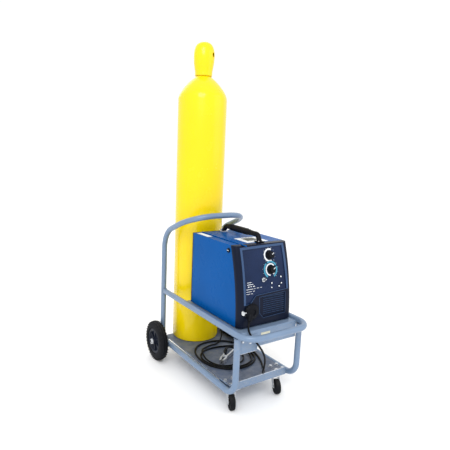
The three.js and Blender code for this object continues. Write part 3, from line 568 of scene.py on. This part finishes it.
def make_rear_wheels():
    refined("rear_axle", bevel=0.5)
    for side, sign in (("left", -1), ("right", 1)):
        node = f"rear_tyre_{side}"
        centre = middle(node)
        r, w = high(node).z - centre.z, high(node).x - centre.x
        half = [(62, -w), (66, -w), (67.5, -w), (72, -w + 0.2), (78, -w), (82, -w + 1.4), (86, -w + 2.6),
                (86.6, -w + 3.8), (90, -w + 5), (92.6, -w + 7.5), (r - 2.2, -w + 9.4), (r - 1.3, -w + 12)]
        grooves = [(r - 1.2, -6.6), (r - 3.6, -6.2), (r - 3.6, -4.6), (r - 0.4, -4.2)]
        half += grooves
        profile = half + [(a, -b) for a, b in reversed(half)] + [half[0]]
        stand_in(node, lathe(profile, 96, X, centre), crease=32)
        marks = Shape()
        for i in range(36):
            turn = Matrix.Translation(centre) @ Matrix.Rotation(2 * math.pi * i / 36, 4, "X")
            for edge in (-1, 1):
                lug = block(-3.6, 3.6, -2.6, 2.6, -1.6, 1.2, 0.6).at(edge * (w - 7), 0, r - 4.4)
                marks += lug.moved(turn)
        piece(f"tread_lugs_{side}", marks, RUBBER, NODE_BODY[node], crease=40)
        hub = f"rear_hub_{side}"
        outer = [(8.3, -24), (15.5, -24), (17, -22.5), (19, -9), (22, -6), (43, -5), (47, -9), (50, -15.5),
                 (53, -17.5), (58, -17.5), (61.5, -15.5)]
        shape = lathe(outer + [(a, -b) for a, b in reversed(outer)] + [outer[0]], 96, X, centre)
        for i in range(6):
            turn = Matrix.Translation(centre) @ Matrix.Rotation(2 * math.pi * i / 6, 4, "X")
            for face in (-1, 1):
                rib = block(-4.2, 4.2, -2.6, 2.6, 17, 50, 1.2).at(face * 8, 0, 0)
                shape += rib.moved(turn)
        stand_in(hub, shape, HUB, crease=30)
        cap = f"axle_cap_{side}"
        inner = low(cap).x if sign > 0 else high(cap).x
        dome = lathe([(8.05, 0), (13, 0), (13, 1.2), (11.4, 2.2), (10.4, 3.4), (8.05, 3.5), (8.05, 0)],
                     40, X * sign, (inner, centre.y, centre.z))
        stand_in(cap, dome, crease=50)
        clip = [Vector((inner + sign * 5, centre.y + 10.5 * math.cos(a), centre.z + 10.5 * math.sin(a)))
                for a in (math.radians(40 + 10 * i) for i in range(29))]
        piece(f"axle_clip_{side}", tube(clip, 1.7, 12), ZINC)


def make_casters():
    for side in ("left", "right"):
        plate, fork, wheel = (f"caster_{part}_{side}" for part in ("plate", "fork", "wheel"))
        refined(plate, bevel=0.5)
        refined(fork, bevel=0.4)
        centre = middle(wheel)
        r = high(wheel).z - centre.z
        profile = [(4.5, -12), (8, -12), (9.2, -11), (9.8, -8), (21, -7.4), (22.6, -8.4), (23.4, -10.4),
                   (26, -11), (r - 2.6, -10.6), (r - 0.9, -8.6), (r, -5)]
        profile += [(a, -b) for a, b in reversed(profile)] + [profile[0]]
        stand_in(wheel, lathe(profile, 64, CASTER_AXLE, centre), crease=35)
        x = middle(plate).x
        nuts = Shape()
        for sign in (-1, 1):
            nuts += lathe([(0, 0), (5.2, 0), (5.2, 1.2), (3.6, 2.2), (0, 2.4)], 24, CASTER_AXLE * sign,
                          centre + CASTER_AXLE * sign * 15.5)
        piece(f"caster_rivets_{side}", nuts, ZINC, NODE_BODY[fork], "zinc")
        ends = Shape()
        for dx, y in CASTER_BOLTS:
            spot = (x + dx, y, low(plate).z + 5.9)
            ends += hexagon(9.5, -4.2, 0, Z, spot) + rod(3, -6.5, 0, Z, spot, 16)
        piece(f"caster_nuts_{side}", ends, ZINC, ROOT, "zinc")


# ---------- gas cylinder ----------
def smooth_profile(points, per_span):
    return [(p.x, p.z) for p in smooth_route([(a, 0, b) for a, b in points], per_span)]


def make_cylinder():
    node = "gas_cylinder"
    r = high(node).x
    base, top = low(node).z, high(node).z
    shoulder, neck, wall = 1262, 1367, 5.7
    cone = smooth_profile([(r, shoulder), (113, 1272), (108.5, 1286), (99, 1303), (86, 1321), (71, 1338),
                           (56, 1352), (44, 1362), (38, neck)], 5)
    outside = [(0, base + 14), (60, base + 10), (88, base + 4), (98, base), (r - 6, base + 0.6),
               (r - 2, base + 3), (r, base + 9), *cone, (35, neck + 0.6), (33.4, neck + 1.4), (33, neck + 3),
               (33, top), (15, top)]
    inside = [(15, neck - 4), (36, shoulder + 92), (64, shoulder + 72), (90, shoulder + 42),
              (104, shoulder + 14), (r - wall, shoulder - 8), (r - wall, base + 20), (60, base + 24),
              (0, base + 24)]
    stand_in(node, lathe(outside + inside, 128, Z, (0, GAS_Y, 0)), crease=28)
    refined("cylinder_valve", bevel=0.5)
    wheel_low = low("valve_handwheel")
    z = wheel_low.z
    rim = washer(4.5, 9, z, z + 9, Z, (0, GAS_Y, 0)) + torus(20, 3.9, Z, (0, GAS_Y, z + 4.5), 56)
    for i in range(5):
        turn = Matrix.Translation((0, GAS_Y, z + 4.5)) @ Matrix.Rotation(2 * math.pi * i / 5, 4, "Z")
        rim += block(7, 18.5, -2.4, 2.4, -2.4, 2.4, 0.8).moved(turn)
    stand_in("valve_handwheel", rim)
    cap = "cylinder_cap"
    seat = low(cap).z
    outer = [(33.5, seat), (39.6, seat), (40.4, seat + 1), *smooth_profile(
        [(40.6, seat + 4), (41, seat + 20), (45, seat + 45), (48.5, seat + 75), (48.5, seat + 98),
         (44.5, seat + 122), (35, seat + 140), (20, seat + 149.5), (0, seat + 152)], 6)]
    inner = [(0, seat + 148), (19, seat + 145.5), (32, seat + 136), (41, seat + 119), (44.5, seat + 97),
             (44.5, seat + 76), (41, seat + 47), (37.5, seat + 33), (33.5, seat + 30), (33.5, seat)]
    shape = lathe(outer + inner, 96, Z, (0, GAS_Y, 0))
    obj = stand_in(cap, shape, crease=40)
    across = Matrix.Translation((0, GAS_Y, seat + 94)) @ Matrix.Rotation(0.6, 4, "Z")
    across @= Matrix.Rotation(math.pi / 2, 4, "X")
    cutter = piece("vent_cutter", rod(11, -60, 60, Z, sides=40).moved(across), YELLOW, NODE_BODY[cap])
    vent = obj.modifiers.new("vent", "BOOLEAN")
    vent.operation, vent.object, vent.solver = "DIFFERENCE", cutter, "EXACT"
    apply_modifiers(obj)
    bpy.data.objects.remove(cutter)
    obj.data.set_sharp_from_angle(angle=math.radians(40))


def apply_modifiers(obj):
    graph = bpy.context.evaluated_depsgraph_get()
    made = bpy.data.meshes.new_from_object(obj.evaluated_get(graph))
    obj.modifiers.clear()
    obj.data = made


# ---------- welder case ----------
def face_spot(x, z, back=0.0):
    """A frame on the curved front: local Z leaves the face, local Y climbs it."""
    a = math.asin((z - FACE_Z) / (FACE_R - back))
    out, climb = Vector((0, -math.cos(a), math.sin(a))), Vector((0, math.sin(a), math.cos(a)))
    place = Matrix.Translation((x, FACE_Y - (FACE_R - back) * math.cos(a), z))
    return place @ Matrix((X, climb, out)).transposed().to_4x4()


def sector(r0, r1, start, end, z0, z1, steps=40):
    """A flat ring segment; angles are in degrees from local +X."""
    spots = [math.radians(start + (end - start) * i / steps) for i in range(steps + 1)]
    outline = [(r1 * math.cos(a), r1 * math.sin(a)) for a in spots]
    outline += [(r0 * math.cos(a), r0 * math.sin(a)) for a in reversed(spots)]
    n = len(spots)
    points = [(u, v, z) for z in (z0, z1) for u, v in outline]
    faces = []
    for i in range(n - 1):
        j = 2 * n - 1 - i
        faces.append((i, i + 1, j - 1, j))
        faces.append((2 * n + i, 2 * n + j, 2 * n + j - 1, 2 * n + i + 1))
    total = len(outline)
    faces += [(i, (i + 1) % total, total + (i + 1) % total, total + i) for i in range(total)]
    return Shape(points, faces)


PANEL_BACK = 3.3
DIALS = (("voltage_knob", 36, 621), ("wire_speed_knob", 36, 564))
# Plain strokes where the photograph has lettering: place on the face, width and height.
PANEL_MARKS = ((-76, 525, 22, 1.6), (-72, 517, 30, 2.0), (-54, 509, 9, 2.6), (-80, 509, 7, 3.4),
               (-68, 509, 5, 2.6), (-75, 499, 34, 1.6), (-50, 499, 6, 1.6), (-79, 490, 26, 1.4),
               (-55, 490, 10, 1.4), (-84, 481, 18, 1.3), (-66, 481, 10, 1.3), (-34, 500, 12, 1.5),
               (-18, 500, 7, 1.5))
LAMPS = ((38, 510, 3.6), (88, 530, 3.4), (89, 504, 3.2), (76, 493, 3.4), (37, 492, 2.6))


def make_knob(node, x, z):
    spot = face_spot(x, z, 3.0)
    profile = [(0, -9), (3.8, -9), (3.8, 0.4), (17.6, 0.4), (18, 1.2), (17.8, 2.6), (15.4, 3.6), (14.8, 5),
               (14.0, 16.5), (13.2, 18.2), (11.5, 18.8), (10.5, 18.0), (0, 18.0)]
    shape = lathe(profile, 72)
    for i in range(18):
        turn = Matrix.Rotation(2 * math.pi * i / 18, 4, "Z")
        shape += block(13.4, 15.3, -0.9, 0.9, 4.4, 16.5, 0.4).moved(turn)
    stand_in(node, shape.moved(spot), crease=30)
    turn = Matrix.Rotation(math.radians(-55), 4, "Z")
    pointer = block(-1.1, 1.1, 2, 13, 17.6, 19.2, 0.3).moved(spot @ turn)
    piece(node + "_pointer", pointer, PRINT, NODE_BODY[node])


def make_panel():
    refined("front_bezel", BEZEL, bevel=0.8, crease=28)
    refined("control_panel", bevel=0.0, crease=28)
    refined("louvre_grille", BEZEL, bevel=0.0, crease=28)
    for node, x, z in DIALS:
        make_knob(node, x, z)
    flush = face_spot(*DIALS[0][1:], PANEL_BACK)
    piece("voltage_ring", sector(21, 27.5, 62, 292, -0.4, 1.0).moved(flush), PRINT)
    lower = face_spot(*DIALS[1][1:], PANEL_BACK)
    arcs = sector(28.5, 35.5, 128, 238, -0.6, 1.1) + sector(28.5, 35.5, 28, 118, -0.6, 1.1)
    arcs += sector(28.5, 35.5, -62, 18, -0.6, 1.1)
    piece("speed_ring", arcs.moved(lower), CYAN)
    inner = sector(20.5, 25.5, 40, 262, -0.4, 1.1) + sector(20.5, 25.5, -58, -12, -0.4, 1.1)
    piece("speed_inner_ring", inner.moved(lower), PRINT)
    marks = Shape()
    for x, z, w, h in PANEL_MARKS:
        marks += block(-w / 2, w / 2, -h / 2, h / 2, -0.3, 0.5, 0.2, 1).moved(face_spot(x, z, PANEL_BACK))
    for (node, x, z), r in zip(DIALS, (30.0, 39.0)):
        for i in range(11):
            spot = face_spot(x, z, PANEL_BACK) @ Matrix.Rotation(math.radians(225 - 27 * i), 4, "Z")
            marks += block(r, r + 2.0, -0.35, 0.35, -0.6, 0.9, 0.1, 1).moved(spot)
    piece("panel_marks", marks, PRINT)
    lamps = Shape()
    for x, z, r in LAMPS:
        spot = face_spot(x, z, PANEL_BACK)
        lamps += lathe([(0, -2), (r, -2), (r, 0.8), (r * 0.75, 2.2), (r * 0.4, 2.8), (0, 3)], 24).moved(spot)
    piece("panel_lamps", lamps, LAMP)
    bezels = Shape()
    for x, z, r in LAMPS[:-1]:
        bezels += washer(r, r + 1.6, -0.5, 1.1).moved(face_spot(x, z, PANEL_BACK))
    piece("lamp_rings", bezels, BLACK)
    refined("power_switch_body", bevel=0.3)
    refined("power_switch_lever", bevel=0.0, crease=50)


PANEL_OUTLINE = [(-99, 652), (106, 656), (114, 478), (-48, 472), (-74, 444), (-99, 440)]
GRILLE_OUTLINE = [(-30, 462), (106, 468), (106, 380), (-10, 376), (-30, 398)]


def face_band(inner, outer, lift, steps=14):
    """A flat raised band on the curved front between two lines of corners."""
    points, faces = [], []
    for k in range(len(inner) - 1):
        for i in range(steps + (k == len(inner) - 2)):
            for line in (inner, outer):
                (x0, z0), (x1, z1) = line[k], line[k + 1]
                spot = face_spot(x0 + (x1 - x0) * i / steps, z0 + (z1 - z0) * i / steps)
                points += [spot @ Vector((0, 0, lift)), spot @ Vector((0, 0, -0.8))]
    count = len(points) // 4
    for i in range(count - 1):
        a, b = 4 * i, 4 * (i + 1)
        for m, n in ((0, 2), (2, 3), (3, 1), (1, 0)):
            faces.append((a + m, a + n, b + n, b + m))
    faces += [(0, 1, 3, 2), (4 * count - 4, 4 * count - 2, 4 * count - 1, 4 * count - 3)]
    return Shape(points, faces)


def make_rim_highlights():
    """Lighter raised edges round the panel window and the grille window, and a lighter band over the left and
    top of the front: painted highlights where the bezel's rounded edges catch the light.
    """
    for name, outline, depth in (("panel_rim", PANEL_OUTLINE, 0.7), ("grille_rim", GRILLE_OUTLINE, 0.5)):
        route = []
        for (x0, z0), (x1, z1) in zip(outline, outline[1:] + outline[:1]):
            steps = max(2, round(abs(z1 - z0) / 12))
            for k in range(steps):
                spot = face_spot(x0 + (x1 - x0) * k / steps, z0 + (z1 - z0) * k / steps)
                route.append(spot @ Vector((0, 0, -depth * 0.4)))
        piece(name, tube(route + [route[0]], depth * 1.6, 10), RIM_HIGHLIGHT, crease=60)
    window = [PANEL_OUTLINE[-1], *PANEL_OUTLINE[:3]]
    edge = [(-108, 440), (-108, 661), (116, 664.5), (122, 478)]
    # The band over the left and top of the front is a painted highlight of the rounded bezel edge.
    piece("panel_band", face_band(window, edge, 0.9), RIM_HIGHLIGHT, crease=30, bevel=0.3)


def make_louvres():
    """Angled blades behind the slots in the lower grille."""
    blades = Shape()
    for i in range(9):
        z = 388 + 8.5 * i + 1.6
        spot = face_spot(47, z, 5.0) @ Matrix.Rotation(math.radians(50), 4, "X")
        blades += block(-55.5, 55.5, -2.6, 2.6, -0.5, 0.5, 0.2, 1).moved(spot)
    # The blades take the bezel's lighter painted-highlight colour.
    piece("louvre_blades", blades, RIM_HIGHLIGHT)


def make_gun_connector():
    """The round connector with its cable nose. Returns the thumb screw beside it."""
    centre_x, centre_z = -73, 413
    face = -271.8
    axis_spot = (centre_x, 0, centre_z)
    ring = lathe([(0, face + 4), (33, face + 4), (33, face - 1.5), (31.5, face - 3), (29, face - 7),
                  (27, face - 10.5), (24, face - 12), (13, face - 12.4), (12, face - 9), (0, face - 9)],
                 72, Y, axis_spot)
    ring += rod(25, face + 2, -217, Y, axis_spot, 48)
    for i in range(16):
        turn = Matrix.Translation((centre_x, face - 2.4, centre_z))
        turn @= Matrix.Rotation(2 * math.pi * i / 16, 4, "Y")
        ring += block(31.2, 33, -3, 3, -2.4, 2.4, 0.6).moved(turn)
    nose_way = Vector((-0.46, -0.36, -0.81)).normalized()
    nose = lathe([(0, -4), (11, -4), (11, 6), (10.2, 8), (10.2, 12), (9.2, 13), (9.2, 17), (8.2, 18),
                  (8.2, 22), (7, 24.5), (5.2, 25.8), (0, 25.8)], 40, nose_way, (-84, -279.3, 401))
    stand_in("gun_connector", ring + nose, crease=30)
    stem_spot = (centre_x - 30, face - 5, centre_z + 2)
    stem = rod(2.6, 0, 13, -X, stem_spot, 20) + washer(0.1, 8.5, 13, 17, -X, stem_spot, 24)
    for i in range(14):
        turn = Matrix.Translation((centre_x - 45, face - 5, centre_z + 2))
        turn @= Matrix.Rotation(2 * math.pi * i / 14, 4, "X")
        stem += block(-2, 2, -0.9, 0.9, 7.8, 9.2, 0.3).moved(turn)
    return stem


def make_case():
    sheet_rear = high("case_wrap").y
    refined("side_door", bevel=0.5)
    refined("case_wrap", bevel=0.5)
    refined("base_pan", bevel=0.5)
    refined("rear_panel", bevel=0.6)
    refined("door_latch", bevel=0.5)
    piece("latch_mark", block(-136.2, -135.6, -186, -174, 645, 647, 0.2, 1), PRINT, NODE_BODY["door_latch"])
    hinge = Shape()
    x, z = -88.4, 669.8
    front, rear = -238, sheet_rear - 6
    count = 9  # knuckle lengths; every other one shows
    for i in range(0, count, 2):
        a, b = front + (rear - front) * i / count, front + (rear - front) * (i + 1) / count
        hinge += rod(2.5, a + 0.6, b - 0.6, Y, (x, 0, z), 20, edge=0.4)
    piece("hinge_knuckles", hinge, BLUE)
    screws = Shape()
    for y in (-205, -60, 75):
        screws += screw((CASE_RIGHT, y, 380), X) + screw((CASE_RIGHT, y, 650), X)
    piece("side_screws", screws, ZINC)
    vents = Shape()
    for i in range(8):
        for y in (-20, 40):
            z = 560 + 9 * i
            vents += block(CASE_RIGHT - 0.4, CASE_RIGHT + 1.2, y - 24, y + 24, z, z + 4, 0.7)
    piece("right_vents", vents, BLUE)
    piece("top_label", block(-40, 70, -180, -85, CASE_TOP, CASE_TOP + 0.35, 0.1, 1), PRINT)
    piece("top_label_patch", block(-15, 45, -150, -100, CASE_TOP + 0.3, CASE_TOP + 0.6, 0.1, 1), OLIVE)
    strip = block(-122, -98, -10, 80, CASE_TOP, CASE_TOP + 0.3, 0.1, 1)
    piece("door_label", strip, PRINT, NODE_BODY["side_door"])


def make_handle():
    node = "carry_handle"
    x = middle(node).x
    rear, front, foot = 72, -190, CASE_TOP + 0.3
    top = 698
    route = bent([(x, rear, foot), (x, rear - 22, top), (x, front + 14, top), (x, front, foot)], [18, 16], 14)
    shape = tube(route, 10.5, 32)
    for p in shape.points:
        p.z = max(p.z, foot)
    shape += lathe([(0, -132), (10.6, -132), (12, -124), (13.6, -104), (14.2, -50), (13.6, 10), (12, 28),
                    (10.6, 34), (0, 34)], 48, Y, (x, 0, top))
    for i in range(14):
        shape += torus(13.2, 1.1, Y, (x, 4 - 8.4 * i, top), 40, 8)
    stand_in(node, shape + block(x - 17, x + 17, front - 12, front + 16, foot, foot + 5, 1.6), crease=40)
    bracket = block(x - 17, x + 17, rear - 14, rear + 18, foot, foot + 4.4, 1.2)
    bracket += block(x - 13.4, x + 13.4, rear - 3, rear + 6, foot + 3, foot + 17, 1.5)
    piece("handle_bracket", bracket, ZINC, slot="zinc")
    screws = Shape()
    for y in (rear + 13, front - 7):
        for dx in (-11, 11):
            screws += screw((x + dx, y, foot + 5), Z, 2.8)
    piece("handle_screws", screws, ZINC)


def make_rear():
    rear = high("rear_panel").y
    centre = (middle("fan_blade").x, rear, middle("fan_blade").z)
    guard = Shape()
    for r in (16, 28, 40, 52, 64):
        guard += torus(r, 1.1, Y, (centre[0], rear + 3.4, centre[2]), 72, 8)
    for i in range(8):
        turn = Matrix.Translation((centre[0], rear + 2.4, centre[2]))
        turn @= Matrix.Rotation(math.pi / 4 * i + 0.2, 4, "Y")
        guard += block(4, 66, -1, 1, -1.1, 1.1, 0.5).moved(turn)
    guard += washer(0.1, 9, 0, 4.5, Y, centre, 32)
    for i in range(4):
        turn = math.pi / 4 + math.pi / 2 * i
        spot = (centre[0] + 66 * math.cos(turn), rear, centre[2] + 66 * math.sin(turn))
        guard += washer(2.6, 5, 0, 4.6, Y, spot, 20) + screw((spot[0], rear + 4, spot[2]), Y, 2.8)
    piece("fan_guard", guard, ZINC)
    inlet_spot = (-60, rear, 430)
    inlet = lathe([(0, 0), (12, 0), (12, 3), (8, 3), (8, 5)], 6, Y, inlet_spot)
    inlet += hexagon(19, 2, 11, Y, inlet_spot)
    inlet += lathe([(0, 10), (7, 10), (7, 19), (6, 20), (4.5, 20), (4.5, 14), (0, 14)], 32, Y, inlet_spot)
    piece("gas_inlet", inlet, BRASS, slot="brass")
    for node in ("power_cord_gland", "work_cable_gland"):
        refined(node, bevel=0.4)
    plate = block(-100, -30, rear, rear + 0.8, 560, 610, 0.3) + screw((-96, rear + 0.6, 585), Y, 2)
    piece("rear_blank_plate", plate + screw((-34, rear + 0.6, 585), Y, 2), PLATE)
    corners = Shape()
    for x in (CASE_LEFT + 11, CASE_RIGHT - 11):
        for z in (362, 510, 656):
            corners += screw((x, rear, z), Y)
    piece("rear_screws", corners, ZINC)


# ---------- inside the welder ----------
def make_inside():
    for node in ("centre_baffle", "fan_motor", "spool_hub", "drive_motor", "drive_housing", "drive_roll",
                 "pressure_arm", "pressure_roll", "fan_blade"):
        refined(node, bevel=0.4)
    refined("circuit_board", bevel=0.3)
    refined("transformer", LAMINATE, bevel=0.8)
    lo, hi = low("transformer"), high("transformer")
    winding = Shape()
    for k in range(9):
        inset = 0.6
        z = 388 + 6.6 * k
        corners = [(lo.x + inset, lo.y + inset, z), (lo.x + inset, hi.y - inset, z),
                   (hi.x - inset, hi.y - inset, z), (hi.x - inset, lo.y + inset, z)]
        start = (lo.x + 20, lo.y + inset, z)
        loop = bent([start, *corners, start], [10, 10, 10, 10], 5)
        winding += tube(loop, 3, 8)
    piece("transformer_winding", winding, GREASE, crease=60)
    node = "wire_spool"
    lo, hi = low(node), high(node)
    mid = middle(node)
    refined(node, BLACK, bevel=0.5)
    wire = Shape()
    for k in range(22):
        wire += torus(78.6, 1.15, X, (lo.x + 6 + 2.0 * k, mid.y, mid.z), 72, 6)
    piece("spool_wire", wire, COPPER, NODE_BODY[node], crease=70)
    parts = Shape()
    for i in range(10):
        y, z = -190 + 13 * (i % 5), 580 + 30 * (i // 5)
        parts += rod(4, 0, 12, X, (16, y, z), 20, edge=0.6)
    piece("board_parts", parts, STEEL)
    coil = [math.pi / 4 * i for i in range(24)]
    spring = smooth_route([(-59 + 6 * math.cos(a), -146 + 6 * math.sin(a), 440 + a * 0.9) for a in coil], 2)
    piece("tension_spring", tube(spring, 0.9, 8), ZINC, NODE_BODY["pressure_arm"], crease=60)


# ---------- gun and clamp ----------
def make_gun():
    """The welding gun. Returns the tapered boot on its cable."""
    x, y, z = GUN
    stations = 22
    rings = []
    for i in range(stations + 1):
        t = i / stations
        swell = 1 - 0.12 * math.sin(math.pi * t) - 0.16 * (abs(2 * t - 1) ** 6)
        rings.append((y + 0.2 + 117.6 * t, 15.2 * swell, 15.9 * swell))
    points, faces, sides = [], [], 28
    spots = [2 * math.pi * s / sides for s in range(sides)]
    for yy, a, b in rings:
        points += [(x + a * math.cos(k), yy, z + b * math.sin(k)) for k in spots]
    for i in range(stations):
        for s in range(sides):
            m = (s + 1) % sides
            faces.append((i * sides + s, i * sides + m, (i + 1) * sides + m, (i + 1) * sides + s))
    faces += [tuple(range(sides)), tuple(range(stations * sides, (stations + 1) * sides))]
    shape = Shape(points, faces)
    for k in range(7):
        shape += torus(14.1, 1.0, Y, (x, y + 14 + 6 * k, z), 32, 8)
    neck = bent([(x, y + 112, z), (x, y + 150, z), (x, y + 183.6, z + 33.6)], [30], 12)
    piece("gun_neck", tube(neck, 6.5, 24) + tube(neck[:3], 8.6, 24), BRASS, ROOT, "brass", crease=50)
    stand_in("gun_handle", shape, crease=45)
    refined("gun_trigger", bevel=0.8)
    refined("gun_nozzle", bevel=0.3)
    return tube([Vector((x, y - 27, z)), Vector((x, y - 14, z)), Vector((x, y + 0.4, z))], 9, 24,
                taper=lambda t: 5.6 + 5.6 * t)


def make_clamp():
    refined("clamp_jaw_fixed", bevel=0.5)
    refined("clamp_jaw_moving", bevel=0.5)
    sleeve = block(-18, 20, -5, 5, -10.4, 10.4, 2.6).moved(
        CLAMP @ Matrix.Translation((48, 17.2, 11)) @ Matrix.Rotation(0.08, 4, "Z"))
    sleeve += block(-14, 14, -4.6, 4.6, -10.2, 10.2, 2.4).moved(
        CLAMP @ Matrix.Translation((16, 11.8, 11)) @ Matrix.Rotation(0.27, 4, "Z"))
    piece("clamp_sleeve", sleeve, JACKET, crease=50)
    pin = CLAMP @ Vector((-22, 0, 0))
    piece("clamp_pin", rod(4.6, 21.9, 23.6, Z, pin, 24, edge=0.6), ZINC, slot="zinc")
    spring = [(-22 + 7.4 * math.cos(a), 7.4 * math.sin(a), 7.5 + 1.3 * a / 6.28) for a in
              (math.pi / 6 * i for i in range(36))]
    coil = smooth_route(spring, 2)
    piece("clamp_spring", tube([CLAMP @ p for p in coil], 0.9, 8), STEEL, crease=60)


piece("gun_boot", make_gun(), RUBBER, crease=60)
make_clamp()
lay_cord("gun_lead", make_gun_cable(), GUN_CABLE_R, "gun_cable")
lay_cord("work_lead", make_work_cable(), WORK_CABLE_R, "work_cable")
make_cart_tubes()
make_decks()
make_rear_wheels()
make_casters()
make_cylinder()
make_panel()
make_rim_highlights()
make_louvres()
piece("gun_thumb_screw", make_gun_connector(), ZINC)
make_case()
make_handle()
make_rear()
make_inside()


# ---------- floor and light ----------
def make_studio():
    floor = bpy.data.meshes.new("floor")
    reach = 12
    corners = [(-reach, -reach, 0), (reach, -reach, 0), (reach, reach, 0), (-reach, reach, 0)]
    floor.from_pydata(corners, [], [(0, 1, 2, 3)])
    ground = bpy.data.objects.new("floor", floor)
    bpy.context.scene.collection.objects.link(ground)
    floor.materials.append(finish("floor", rgb(255, 255, 255), 0.9, vary=0.0, rough_vary=0.02, specular=0.1))
    world = bpy.context.scene.world or bpy.data.worlds.new("studio")
    bpy.context.scene.world = world
    world.use_nodes = True
    world.node_tree.nodes["Background"].inputs["Color"].default_value = (1, 1, 1, 1)
    world.node_tree.nodes["Background"].inputs["Strength"].default_value = 1.04
    for name, place, size, power in (("key", (-2.2, -2.6, 3.4), 2.2, 85), ("fill", (2.6, -2.4, 2.0), 2.5, 12),
                                     ("rear", (0.5, 3.2, 3.0), 2.5, 25)):
        lamp = bpy.data.lights.new(name, "AREA")
        lamp.size, lamp.energy = size, power
        obj = bpy.data.objects.new(name, lamp)
        bpy.context.scene.collection.objects.link(obj)
        obj.location = place
        obj.rotation_mode = "QUATERNION"
        obj.rotation_quaternion = (Vector((0, 0, 0.6)) - Vector(place)).to_track_quat("-Z", "Y")
    bpy.context.scene.view_settings.view_transform = "Standard"


make_studio()
